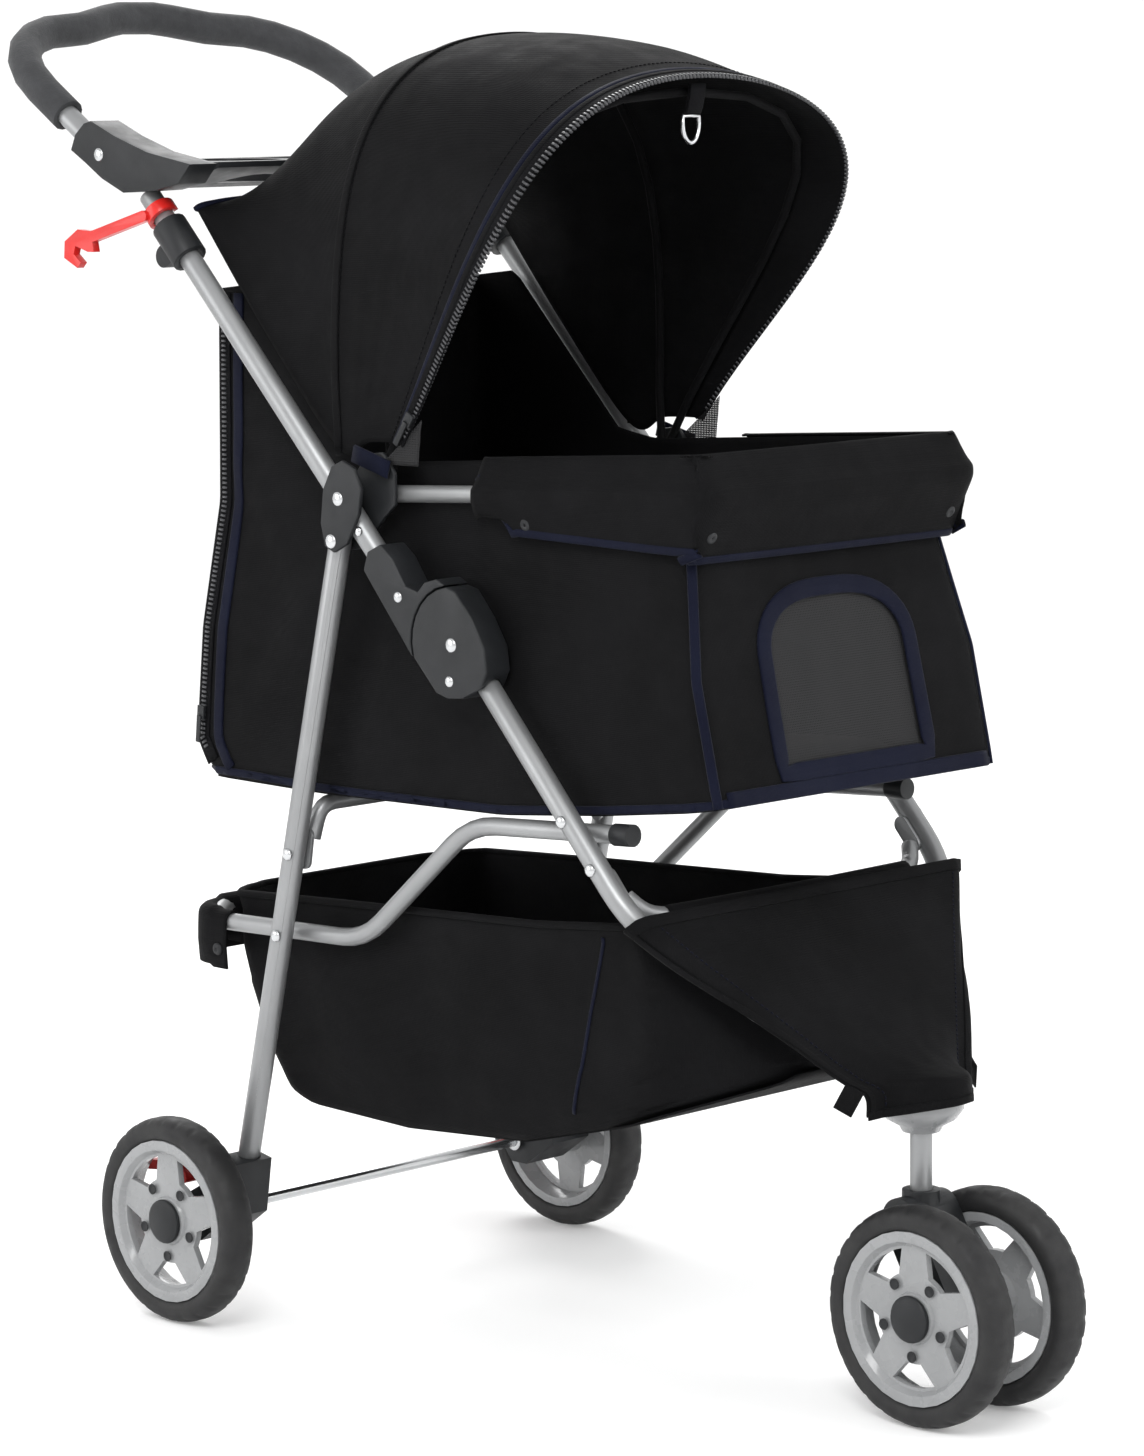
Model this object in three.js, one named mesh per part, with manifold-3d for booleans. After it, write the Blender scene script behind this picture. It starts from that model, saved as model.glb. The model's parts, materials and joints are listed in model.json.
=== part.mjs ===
// Folding three-wheeled pet stroller, in millimetres, +Z up, +X forward, +Y to the stroller's left.
// Lengths along X are first counted from the rear axle. The finished group is moved so that the
// origin is under the middle of the whole object, on the ground.
import * as THREE from 'three';
import { mergeVertices } from 'three/addons/utils/BufferGeometryUtils.js';
import Module from 'manifold-3d';

const wasm = await Module();
wasm.setup();

// ---------------------------------------------------------------- driving dimensions
const WHEEL_RADIUS = 75;
const TYRE_WIDTH = 25;
const RIM_RADIUS = 59;
const WHEELBASE = 570;
const REAR_WHEEL_Y = 199;
const FRONT_WHEEL_Y = 37;
const AXLE_RADIUS = 4;
const FRAME_Y = 157; // the plane of the side frames
const TUBE_RADIUS = 8;
const LINK_Y = 138; // the plane of the basket tube's sides
const LINK_RADIUS = 6.5;
const BAR_RADIUS = 6;
const BOW_RADIUS = 3;
const FIT_GAP = 0.35;

// Pivots of the folding side frame, as [x, z].
const KNEE = [264, 511];
const LEG_PIVOT = [145, 574];
const LINK_FRONT = [364, 394];
const BOW_PIVOT = [170, 622];

// The straight push tube and the handle that carries on from it.
const PUSH_TOP = [-56, 809];
const PUSH_END = [220.5, 525.4];
const HANDLE_START = [-98, 834];
const HANDLE_ANGLE = THREE.MathUtils.degToRad(147);
const HANDLE_STRAIGHT = 92;
const HANDLE_BEND = 80;
const HANDLE_CROWN = 18;
const GRIP_RADIUS = 12.5;

// Front legs, swivel and casting.
const LEG_BEND = [423, 336];
const LEG_TOE = [528, 211];
const TOE_Y = 17;
const SWIVEL_X = WHEELBASE - 32;
const CASTING_RADIUS = 29;
const KNEE_RADIUS = 39.5;

// Cabin: its floor rises slightly to the front.
const CABIN_REAR_X = -42;
const CABIN_FRONT_X = 486;
const CABIN_WALL = 3.5;
const FLOOR_REAR_Z = 390.5;
const FLOOR_RISE = 0.053;
const RIM_Y = 137.2;
const RIM_Z = 606;

const SIDES = [
  { name: 'right', y: -1 },
  { name: 'left', y: 1 },
];

const HALF_TURN = Math.PI;
const QUARTER_TURN = Math.PI / 2;

// ---------------------------------------------------------------- materials
const finish = (color, roughness, metalness) => () =>
  new THREE.MeshStandardMaterial({ color, roughness, metalness });
const SILVER_PAINT = finish('#b9bbbe', 0.35, 0.8);
const STEEL = finish('#c6c8cb', 0.3, 0.9);
const BLACK_PLASTIC = finish('#1b1c1e', 0.5, 0);
const GREY_PLASTIC = finish('#c3c5c7', 0.35, 0);
const RED_PLASTIC = finish('#d8201d', 0.4, 0);
const FOAM = finish('#2d2e30', 0.9, 0);
const TYRE = finish('#161617', 0.75, 0);
const FABRIC = finish('#121214', 0.85, 0);
const BOARD = finish('#1e1f22', 0.8, 0);

const stroller = new THREE.Group();
const model = new THREE.Group();
stroller.add(model);

function add(name, geometry, material) {
  const mesh = new THREE.Mesh(geometry, material());
  mesh.name = name;
  model.add(mesh);
  return mesh;
}

// ---------------------------------------------------------------- solids
function toSolid(geometry) {
  const plain = geometry.clone();
  plain.deleteAttribute('normal');
  plain.deleteAttribute('uv');
  const merged = mergeVertices(plain, 1e-4);
  return new wasm.Manifold(new wasm.Mesh({
    numProp: 3,
    vertProperties: new Float32Array(merged.attributes.position.array),
    triVerts: new Uint32Array(merged.index.array),
  }));
}

function toGeometry(solid) {
  const mesh = solid.getMesh();
  const geometry = new THREE.BufferGeometry();
  geometry.setAttribute('position', new THREE.BufferAttribute(mesh.vertProperties, 3));
  geometry.setIndex(new THREE.BufferAttribute(mesh.triVerts, 1));
  return geometry;
}

const join = (...parts) => toGeometry(parts.map(toSolid).reduce((a, b) => a.add(b)));
const cut = (part, ...tools) => toGeometry(tools.map(toSolid).reduce((a, b) => a.subtract(b), toSolid(part)));
const common = (...parts) => toGeometry(parts.map(toSolid).reduce((a, b) => a.intersect(b)));

// A path that visits exactly the given points, so a bend can have closer steps than a straight.
class StationPath extends THREE.Curve {
  constructor(points) {
    super();
    this.points = points;
  }
  getPoint(t) {
    const last = this.points.length - 1;
    const place = Math.min(Math.max(t, 0), 1) * last;
    const index = Math.min(Math.floor(place), last - 1);
    return this.points[index].clone().lerp(this.points[index + 1], place - index);
  }
  getPointAt(t) {
    return this.getPoint(t);
  }
  getSpacedPoints() {
    return this.points.map((point) => point.clone());
  }
  getTangentAt(t) {
    const last = this.points.length - 1;
    const index = Math.round(t * last);
    const before = this.points[Math.max(index - 1, 0)];
    const after = this.points[Math.min(index + 1, last)];
    return after.clone().sub(before).normalize();
  }
}

// Rounds each inner corner of a line of points with a smooth bend.
function bent(corners, reach, steps = 4) {
  const points = [corners[0].clone()];
  for (let i = 1; i < corners.length - 1; i += 1) {
    const corner = corners[i];
    const from = corners[i - 1].clone().sub(corner);
    const to = corners[i + 1].clone().sub(corner);
    const room = Math.min(reach, from.length() * 0.48, to.length() * 0.48);
    const start = corner.clone().addScaledVector(from.normalize(), room);
    const end = corner.clone().addScaledVector(to.normalize(), room);
    const bend = new THREE.QuadraticBezierCurve3(start, corner, end);
    points.push(...bend.getPoints(steps));
  }
  points.push(corners[corners.length - 1].clone());
  return points;
}

function circle(radius, hole = 0) {
  const shape = new THREE.Shape();
  shape.absarc(0, 0, radius, 0, 2 * Math.PI, false);
  if (hole > 0) {
    const inner = new THREE.Path();
    inner.absarc(0, 0, hole, 0, 2 * Math.PI, true);
    shape.holes.push(inner);
  }
  return shape;
}

function tube(points, radius, hole = 0, curveSegments = 6) {
  const path = new StationPath(points);
  return new THREE.ExtrudeGeometry(circle(radius, hole), {
    steps: points.length - 1,
    curveSegments,
    extrudePath: path,
  });
}

const at = (x, y, z) => new THREE.Vector3(x, y, z);
const mirrored = (points) => [...points, ...points.slice().reverse().map((p) => at(p.x, -p.y, p.z))];

function rod(from, to, radius, segments = 16) {
  const length = from.distanceTo(to);
  const geometry = new THREE.CylinderGeometry(radius, radius, length, segments);
  const turn = new THREE.Quaternion().setFromUnitVectors(at(0, 1, 0), to.clone().sub(from).normalize());
  geometry.applyQuaternion(turn);
  const middle = from.clone().add(to).multiplyScalar(0.5);
  return geometry.translate(middle.x, middle.y, middle.z);
}

function outline(points) {
  return new THREE.Shape(points.map(([x, z]) => new THREE.Vector2(x, z)));
}

// A plate whose outline is in the XZ plane, between two values of y.
function sidePlate(shape, y0, y1, curveSegments = 8) {
  const low = Math.min(y0, y1);
  const high = Math.max(y0, y1);
  const geometry = new THREE.ExtrudeGeometry(shape, { depth: high - low, bevelEnabled: false, curveSegments });
  return geometry.rotateX(QUARTER_TURN).translate(0, high, 0);
}

// A prism along X whose outline is in the YZ plane.
function frontPrism(points, x0, x1) {
  const shape = new THREE.Shape(points.map(([y, z]) => new THREE.Vector2(y, z)));
  const geometry = new THREE.ExtrudeGeometry(shape, { depth: x1 - x0, bevelEnabled: false });
  geometry.rotateX(QUARTER_TURN).rotateZ(QUARTER_TURN);
  return geometry.translate(x0, 0, 0);
}

// A prism along Z whose outline is in the XY plane.
function planPrism(shape, z0, z1, curveSegments = 6) {
  const geometry = new THREE.ExtrudeGeometry(shape, { depth: z1 - z0, bevelEnabled: false, curveSegments });
  return geometry.translate(0, 0, z0);
}

function capsule([x0, z0], [x1, z1], radius) {
  const along = Math.atan2(z1 - z0, x1 - x0);
  const shape = new THREE.Shape();
  shape.absarc(x0, z0, radius, along + QUARTER_TURN, along + 3 * QUARTER_TURN, false);
  shape.absarc(x1, z1, radius, along - QUARTER_TURN, along + QUARTER_TURN, false);
  shape.closePath();
  return shape;
}

// A closed profile of [radius, height] turned about the Y axis.
function turned(profile, segments = 32) {
  const points = [...profile, profile[0]].map(([r, h]) => new THREE.Vector2(r, h));
  return new THREE.LatheGeometry(points, segments);
}

// A profile of [radius, height] that starts and ends on the axis, turned about the Z axis.
function turnedUpright(profile, segments = 24) {
  const points = profile.map(([r, h]) => new THREE.Vector2(r, h));
  return new THREE.LatheGeometry(points, segments).rotateX(QUARTER_TURN);
}

// Joins an outer and an inner grid of points, of the same size, into one closed skin.
function skin(outer, inner) {
  const rows = outer.length;
  const columns = outer[0].length;
  const positions = [...outer.flat(), ...inner.flat()].flatMap((p) => [p.x, p.y, p.z]);
  const offset = rows * columns;
  const index = [];
  const quad = (a, b, c, d) => index.push(a, c, b, a, d, c);
  for (let r = 0; r < rows - 1; r += 1) {
    for (let c = 0; c < columns - 1; c += 1) {
      const a = r * columns + c;
      quad(a, a + 1, a + columns + 1, a + columns);
      quad(offset + a, offset + a + columns, offset + a + columns + 1, offset + a + 1);
    }
  }
  for (let c = 0; c < columns - 1; c += 1) {
    const last = (rows - 1) * columns + c;
    quad(c, offset + c, offset + c + 1, c + 1);
    quad(last, last + 1, offset + last + 1, offset + last);
  }
  for (let r = 0; r < rows - 1; r += 1) {
    const first = r * columns;
    const end = first + columns - 1;
    quad(first, first + columns, offset + first + columns, offset + first);
    quad(end, offset + end, offset + end + columns, end + columns);
  }
  const geometry = new THREE.BufferGeometry();
  geometry.setAttribute('position', new THREE.BufferAttribute(new Float32Array(positions), 3));
  geometry.setIndex(index);
  return geometry;
}

// ---------------------------------------------------------------- wheels
// The tyre and rim turn about Y. outward is +1 or -1: the side that the wheel's face looks to.
function tyre() {
  const half = TYRE_WIDTH / 2;
  const seat = RIM_RADIUS + FIT_GAP;
  return turned([
    [seat, half - 1],
    [seat, 1 - half],
    [seat + 5, -half],
    [WHEEL_RADIUS - 5, 0.5 - half],
    [WHEEL_RADIUS - 1.2, 5 - half],
    [WHEEL_RADIUS, 0],
    [WHEEL_RADIUS - 1.2, half - 5],
    [WHEEL_RADIUS - 5, half - 0.5],
    [seat + 5, half],
  ], 36);
}

function rim(outward) {
  const bore = AXLE_RADIUS + FIT_GAP;
  const half = TYRE_WIDTH / 2 - 1;
  const disc = turned([
    [bore, half - 2],
    [bore, -half],
    [14, -half],
    [18, half - 9],
    [50, half - 9],
    [53, -half],
    [RIM_RADIUS, -half],
    [RIM_RADIUS, half],
    [52, half],
    [49, half - 4],
    [18, half - 4],
    [17, half - 2],
  ], 30);
  const windows = [];
  const count = 5;
  const reach = THREE.MathUtils.degToRad(23);
  for (let i = 0; i < count; i += 1) {
    const middle = (i * 2 * Math.PI) / count + QUARTER_TURN;
    const shape = new THREE.Shape();
    shape.absarc(0, 0, 47, middle - reach, middle + reach, false);
    shape.absarc(0, 0, 31, middle + reach * 0.5, middle - reach * 0.5, true);
    shape.closePath();
    windows.push(sidePlate(shape, -TYRE_WIDTH, TYRE_WIDTH, 4));
  }
  const wheel = cut(disc, ...windows);
  return outward > 0 ? wheel : wheel.rotateX(HALF_TURN);
}

function hubCap(outward) {
  const face = TYRE_WIDTH / 2 - 1;
  const points = [[0, face - 1.6], [16, face - 1.6], [16, face + 1.4], [12, face + 3.4], [0, face + 3.8]];
  const cap = new THREE.LatheGeometry(points.map(([r, h]) => new THREE.Vector2(r, h)), 24);
  return outward > 0 ? cap : cap.rotateX(HALF_TURN);
}

function addWheel(place, x, y, outward) {
  add(`${place}_rim`, rim(outward), GREY_PLASTIC).position.set(x, y, WHEEL_RADIUS);
  add(`${place}_tyre`, tyre(), TYRE).position.set(x, y, WHEEL_RADIUS);
  add(`${place}_hub_cap`, hubCap(outward), BLACK_PLASTIC).position.set(x, y, WHEEL_RADIUS);
}

for (const side of SIDES) {
  addWheel(`rear_${side.name}`, 0, side.y * REAR_WHEEL_Y, side.y);
  addWheel(`front_${side.name}`, WHEELBASE, side.y * FRONT_WHEEL_Y, side.y);
}

// ---------------------------------------------------------------- front swivel
function swivelFork() {
  const half = FRONT_WHEEL_Y - TYRE_WIDTH / 2 - 2;
  const head = [SWIVEL_X, 132];
  const body = sidePlate(capsule(head, [WHEELBASE, WHEEL_RADIUS], 15), -half, half);
  const collar = rod(at(SWIVEL_X, 0, 128), at(SWIVEL_X, 0, 150), 13);
  const stemHole = rod(at(SWIVEL_X, 0, 120), at(SWIVEL_X, 0, 160), TUBE_RADIUS - 0.5 + FIT_GAP);
  const axleHole = rod(at(WHEELBASE, -40, WHEEL_RADIUS), at(WHEELBASE, 40, WHEEL_RADIUS), AXLE_RADIUS + FIT_GAP);
  return cut(join(body, collar), stemHole, axleHole);
}

add('swivel_fork', swivelFork(), BLACK_PLASTIC);
add('swivel_stem', rod(at(SWIVEL_X, 0, 121), at(SWIVEL_X, 0, 222), TUBE_RADIUS - 0.5), SILVER_PAINT);
const FRONT_AXLE_END = FRONT_WHEEL_Y + TYRE_WIDTH / 2 - 3.2;
add('front_axle', rod(at(WHEELBASE, -FRONT_AXLE_END, WHEEL_RADIUS), at(WHEELBASE, FRONT_AXLE_END, WHEEL_RADIUS),
  AXLE_RADIUS), STEEL);

function legPath(y) {
  return bent([
    at(KNEE[0] + 14, y * FRAME_Y, KNEE[1] - 16.2),
    at(LEG_BEND[0], y * FRAME_Y, LEG_BEND[1]),
    at(LEG_TOE[0], y * TOE_Y, LEG_TOE[1]),
  ], 30, 6);
}

function frontCasting() {
  const dome = turnedUpright([
    [0, 190],
    [13, 190],
    [15, 194],
    [24, 199],
    [CASTING_RADIUS, 206],
    [CASTING_RADIUS, 212],
    [26, 222],
    [0, 222],
  ]);
  const bore = rod(at(SWIVEL_X, 0, 170), at(SWIVEL_X, 0, 223), TUBE_RADIUS - 0.5 + FIT_GAP);
  const sockets = SIDES.map((side) => tube(legPath(side.y), TUBE_RADIUS + FIT_GAP));
  return cut(dome.translate(SWIVEL_X, 0, 0), bore, ...sockets);
}

add('front_casting', frontCasting(), GREY_PLASTIC);

// ---------------------------------------------------------------- front legs and knees
const kneeArc = (radius, from, to, steps = 7) => Array.from({ length: steps + 1 }, (_, i) => {
  const angle = THREE.MathUtils.degToRad(from + ((to - from) * i) / steps);
  return [KNEE[0] + radius * Math.cos(angle), KNEE[1] + radius * Math.sin(angle)];
});

function kneeHousing(y) {
  const shape = outline([
    ...kneeArc(KNEE_RADIUS, 98, 197),
    [248, 477],
    [259, 474],
    [273, 475],
    [292, 483.5],
    [298, 495],
    [296, 511],
    [284, 530],
    [268, 548],
  ]);
  const body = sidePlate(shape, y * (FRAME_Y - 11.5), y * (FRAME_Y + 11.5));
  return cut(body, tube(legPath(y), TUBE_RADIUS + FIT_GAP));
}

function lockSleeve(y) {
  const shape = outline([
    [177, 556],
    [181, 569],
    [194, 575],
    [206, 566],
    [219, 548],
    [231, 545],
    [238, 552],
    [250, 555],
    ...kneeArc(KNEE_RADIUS + 1.2, 99, 196),
  ].reverse());
  const body = sidePlate(shape, y * (FRAME_Y - 11.5), y * (FRAME_Y + 11.5));
  const bore = rod(at(PUSH_TOP[0], y * FRAME_Y, PUSH_TOP[1]),
    at(PUSH_END[0] + 14, y * FRAME_Y, PUSH_END[1] - 14.4), TUBE_RADIUS + FIT_GAP);
  return cut(body, bore);
}

const KNEE_PLATE_Y = [FRAME_Y - 13.4, FRAME_Y - 12];

for (const side of SIDES) {
  const { name, y } = side;
  add(`front_leg_${name}`, tube(legPath(y), TUBE_RADIUS), SILVER_PAINT);
  add(`knee_housing_${name}`, kneeHousing(y), BLACK_PLASTIC);
  add(`lock_sleeve_${name}`, lockSleeve(y), BLACK_PLASTIC);
  const plate = sidePlate(capsule([204, 542], KNEE, 9), y * KNEE_PLATE_Y[0], y * KNEE_PLATE_Y[1]);
  add(`knee_plate_${name}`, plate, STEEL);
}

// The cross bar under the front of the cabin: round, with a flat tab on each leg.
function frontCrossBar() {
  const half = [
    at(403, -143, 351),
    at(411, -135, 341),
    at(417, -122, 337.5),
    at(417, -90, 337),
  ];
  const bar = tube(bent(mirrored(half), 10, 3), BAR_RADIUS);
  const tabs = SIDES.map(({ y }) => sidePlate(capsule([392, 364], [403, 351.5], 6),
    y * (FRAME_Y - 11), y * (FRAME_Y - 8.5)));
  return join(bar, ...tabs);
}

add('front_cross_bar', frontCrossBar(), SILVER_PAINT);

// The apron is a sheet of cloth over both front legs. It goes over the casting and hangs in front of it.
const APRON_SIDE = [[438, 334], [466, 300], [496, 264], [524, 231], [535, 219], [536, 200]];
const APRON_MIDDLE = [[438, 334], [468, 300], [502, 262], [538, 236], [570, 226], [573, 203]];
const APRON_OUT = [[0.77, 0.64], [0.77, 0.64], [0.77, 0.64], [0.6, 0.8], [0.8, 0.6], [1, 0]];
const APRON_TOP_Y = 163;
const APRON_LOW_Y = 54;

function apronPoint(row, across, lift) {
  const bulge = 1 - Math.abs(across) ** 2.2;
  const x = THREE.MathUtils.lerp(APRON_SIDE[row][0], APRON_MIDDLE[row][0], bulge);
  const z = THREE.MathUtils.lerp(APRON_SIDE[row][1], APRON_MIDDLE[row][1], bulge);
  const width = THREE.MathUtils.mapLinear(APRON_SIDE[row][0], APRON_SIDE[0][0], APRON_SIDE[5][0],
    APRON_TOP_Y, APRON_LOW_Y);
  return at(x + APRON_OUT[row][0] * lift, across * width, z + APRON_OUT[row][1] * lift);
}

function frontApron() {
  const columns = 13;
  const grid = (lift) => APRON_SIDE.map((_, row) => Array.from({ length: columns }, (__, c) =>
    apronPoint(row, (2 * c) / (columns - 1) - 1, lift)));
  return skin(grid(2.5), grid(0));
}

add('front_apron', frontApron(), FABRIC);

// ---------------------------------------------------------------- push frame
const pushPoint = (t) => [
  THREE.MathUtils.lerp(PUSH_TOP[0], PUSH_END[0], t),
  THREE.MathUtils.lerp(PUSH_TOP[1], PUSH_END[1], t),
];

function pushRod(y, radius, from = 0, to = 1) {
  const [x0, z0] = pushPoint(from);
  const [x1, z1] = pushPoint(to);
  return rod(at(x0, y * FRAME_Y, z0), at(x1, y * FRAME_Y, z1), radius, 18);
}

function handlePath(start) {
  const along = [Math.cos(HANDLE_ANGLE), Math.sin(HANDLE_ANGLE)];
  const place = (distance, y) => at(HANDLE_START[0] + along[0] * distance, y, HANDLE_START[1] + along[1] * distance);
  const half = [place(start, -FRAME_Y), place(HANDLE_STRAIGHT, -FRAME_Y)];
  const steps = 6;
  for (let i = 1; i <= steps; i += 1) {
    const angle = (QUARTER_TURN * i) / steps;
    half.push(place(HANDLE_STRAIGHT + HANDLE_BEND * Math.sin(angle),
      -FRAME_Y + HANDLE_BEND * (1 - Math.cos(angle))));
  }
  const flat = FRAME_Y - HANDLE_BEND;
  for (const share of [0.8, 0.6, 0.4, 0.2]) {
    half.push(place(HANDLE_STRAIGHT + HANDLE_BEND + HANDLE_CROWN * (1 - share * share) ** 2, -flat * share));
  }
  return mirrored(half);
}

add('handle_bar', tube(handlePath(0), TUBE_RADIUS), SILVER_PAINT);
add('handle_grip', tube(handlePath(58), GRIP_RADIUS, TUBE_RADIUS + FIT_GAP, 8), FOAM);

function trayArm(y) {
  const shape = outline([
    [-70, 811],
    [-35, 813],
    [-10, 818],
    [4, 832],
    [-43, 840],
    [-78, 851],
    [-105, 862],
    [-113, 860],
    [-123, 852],
    [-128, 841],
    [-112, 832],
    [-94, 821],
  ]);
  return sidePlate(shape, y * (FRAME_Y - 13), y * (FRAME_Y + 13));
}

function parentTray() {
  const deckShape = outline([[-105, 814], [-37, 814], [4, 829], [4, 833], [-100, 833], [-106, 830]]);
  const deck = sidePlate(deckShape, 13 - FRAME_Y, FRAME_Y - 13);
  const cup = (y) => rod(at(-50, y, 817), at(-50, y, 850), 38, 28);
  const shelf = planPrism(roundedRectangle(-84, -32, -20, 32, 8), 820, 850);
  const bores = SIDES.flatMap(({ y }) => [
    pushRod(y, TUBE_RADIUS + FIT_GAP, -0.003, 0.3),
    rod(at(HANDLE_START[0] + 1, y * FRAME_Y, HANDLE_START[1] - 0.6),
      at(HANDLE_START[0] - 70, y * FRAME_Y, HANDLE_START[1] + 45.5), TUBE_RADIUS + FIT_GAP, 18),
  ]);
  return cut(join(deck, trayArm(-1), trayArm(1)), cup(-86), cup(86), shelf, ...bores);
}

function roundedRectangle(x0, y0, x1, y1, radius) {
  const shape = new THREE.Shape();
  shape.absarc(x0 + radius, y0 + radius, radius, HALF_TURN, 3 * QUARTER_TURN, false);
  shape.absarc(x1 - radius, y0 + radius, radius, 3 * QUARTER_TURN, 4 * QUARTER_TURN, false);
  shape.absarc(x1 - radius, y1 - radius, radius, 0, QUARTER_TURN, false);
  shape.absarc(x0 + radius, y1 - radius, radius, QUARTER_TURN, HALF_TURN, false);
  shape.closePath();
  return shape;
}

add('parent_tray', parentTray(), BLACK_PLASTIC);

// The clamp sleeve under each end of the tray, with the lug of its clamp screw.
function traySocket(y) {
  const sleeve = pushRod(y, 13, 0.075, 0.155);
  const [x, z] = pushPoint(0.12);
  const lug = sidePlate(capsule([x, z], [x - 13, z - 9], 8), y * (FRAME_Y - 6), y * (FRAME_Y + 6));
  return cut(join(sleeve, lug), pushRod(y, TUBE_RADIUS + FIT_GAP, -0.1, 0.4));
}

// The fold hook: a C-shaped ring that snaps round the push tube, an arm and a hooked mouth.
function foldHook() {
  const [x, z] = pushPoint(0.045);
  const along = at(PUSH_END[0] - PUSH_TOP[0], 0, PUSH_END[1] - PUSH_TOP[1]).normalize();
  const turn = new THREE.Quaternion().setFromUnitVectors(at(0, 0, 1), along);
  const ring = new THREE.Shape();
  const open = THREE.MathUtils.degToRad(50);
  ring.absarc(0, 0, 12, open, 2 * Math.PI - open, false);
  ring.absarc(0, 0, TUBE_RADIUS + 0.4, 2 * Math.PI - open, open, true);
  ring.closePath();
  const clip = new THREE.ExtrudeGeometry(ring, { depth: 9, bevelEnabled: false, curveSegments: 12 });
  clip.translate(0, 0, -4.5).rotateZ(QUARTER_TURN).applyQuaternion(turn);
  clip.translate(x, -FRAME_Y, z);
  const y = -FRAME_Y - 11.5;
  const arm = sidePlate(capsule([x - 4, z - 1.5], [-113, 777], 4), y - 3, y + 3);
  const jaw = outline([
    [-106, 783],
    [-121, 784],
    [-136, 775],
    [-137, 763],
    [-122, 756],
    [-118, 760],
    [-126, 766],
    [-124, 772],
    [-110, 768],
    [-103, 768],
  ]);
  return join(clip, arm, sidePlate(jaw, y - 3, y + 3));
}

add('fold_hook', foldHook(), RED_PLASTIC);

const PLATE_OUTLINE = [
  [147, 566],
  [138, 570],
  [134, 586],
  [137, 610],
  [146, 626],
  [157, 631],
  [169, 626],
  [176, 612],
  [173, 594],
  [161, 573],
];

const BRACKET_OUTLINE = [
  [142, 566],
  [136, 574],
  [140, 604],
  [150, 622],
  [160, 634],
  [176, 636],
  [188, 622],
  [188, 600],
  [176, 590],
  [156, 568],
];

// The outer plate holds the rear leg's pivot pin; the inner bracket holds the canopy bows.
function hingePlate(y) {
  const plate = sidePlate(outline(PLATE_OUTLINE), y * (FRAME_Y + 8.4), y * (FRAME_Y + 12));
  const pin = rod(at(LEG_PIVOT[0], y * (FRAME_Y - 7.8), LEG_PIVOT[1]),
    at(LEG_PIVOT[0], y * (FRAME_Y + 9), LEG_PIVOT[1]), 3);
  return join(plate, pin);
}

function pivotBracket(y) {
  const plate = sidePlate(outline(BRACKET_OUTLINE), y * (FRAME_Y - 12), y * (FRAME_Y - 8.4));
  const pin = rod(at(BOW_PIVOT[0], y * (FRAME_Y - 25.3), BOW_PIVOT[1]),
    at(BOW_PIVOT[0], y * (FRAME_Y - 11), BOW_PIVOT[1]), 1.5, 10);
  return join(plate, pin);
}

for (const side of SIDES) {
  const { name, y } = side;
  add(`push_tube_${name}`, pushRod(y, TUBE_RADIUS), SILVER_PAINT);
  add(`tray_socket_${name}`, traySocket(y), BLACK_PLASTIC);
  add(`hinge_plate_${name}`, hingePlate(y), BLACK_PLASTIC);
  add(`pivot_bracket_${name}`, pivotBracket(y), BLACK_PLASTIC);
}

// ---------------------------------------------------------------- rear legs, axle and brakes
const FOOT = [24, 84];

function rearLeg(y) {
  const path = [at(LEG_PIVOT[0] - 2, y * FRAME_Y, LEG_PIVOT[1] + 5), at(FOOT[0], y * FRAME_Y, FOOT[1])];
  const leg = rod(path[0], path[1], TUBE_RADIUS, 18);
  return cut(leg, rod(at(LEG_PIVOT[0], -FRAME_Y - 20, LEG_PIVOT[1]), at(LEG_PIVOT[0], FRAME_Y + 20, LEG_PIVOT[1]),
    3 + FIT_GAP));
}

function rearHousing(y) {
  const inner = FRAME_Y - 12;
  const outer = REAR_WHEEL_Y - TYRE_WIDTH / 2 - 1.5;
  const shape = outline([
    [-14, 68],
    [-6, 58],
    [10, 58],
    [38, 78],
    [44, 118],
    [24, 122],
    [12, 100],
    [-13, 86],
  ]);
  const body = sidePlate(shape, y * inner, y * outer);
  const axleHole = rod(at(0, -REAR_WHEEL_Y, WHEEL_RADIUS), at(0, REAR_WHEEL_Y, WHEEL_RADIUS), AXLE_RADIUS + FIT_GAP);
  const legHole = rod(at(LEG_PIVOT[0] - 2, y * FRAME_Y, LEG_PIVOT[1] + 5),
    at(FOOT[0] - 0.2, y * FRAME_Y, FOOT[1] - 1), TUBE_RADIUS + FIT_GAP, 18);
  return cut(body, axleHole, legHole);
}

const PEDAL_PIVOT = [-20, 108];

// A short foot lever behind each rear housing, on a pin through its own hub.
function brakePedal(y) {
  const hub = rod(at(PEDAL_PIVOT[0], y * 160, PEDAL_PIVOT[1]), at(PEDAL_PIVOT[0], y * 181, PEDAL_PIVOT[1]), 5);
  const lever = sidePlate(capsule(PEDAL_PIVOT, [-52, 104], 3.6), y * 158, y * 181);
  const dog = sidePlate(capsule(PEDAL_PIVOT, [-16, 98], 3), y * 165, y * 178);
  return join(hub, lever, dog);
}

function rearSupportBar() {
  const half = [
    at(91, -142.4, 357),
    at(94, -137, 381.5),
    at(94, -90, 382),
  ];
  const bar = tube(bent(mirrored(half), 16, 4), BAR_RADIUS);
  const tabs = SIDES.map(({ y }) => sidePlate(capsule([88, 341], [91, 359], 6),
    y * (FRAME_Y - 11), y * (FRAME_Y - 8.5)));
  return join(bar, ...tabs);
}

for (const side of SIDES) {
  const { name, y } = side;
  add(`rear_leg_${name}`, rearLeg(y), SILVER_PAINT);
  add(`rear_housing_${name}`, rearHousing(y), BLACK_PLASTIC);
  add(`brake_pedal_${name}`, brakePedal(y), RED_PLASTIC);
}

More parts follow.
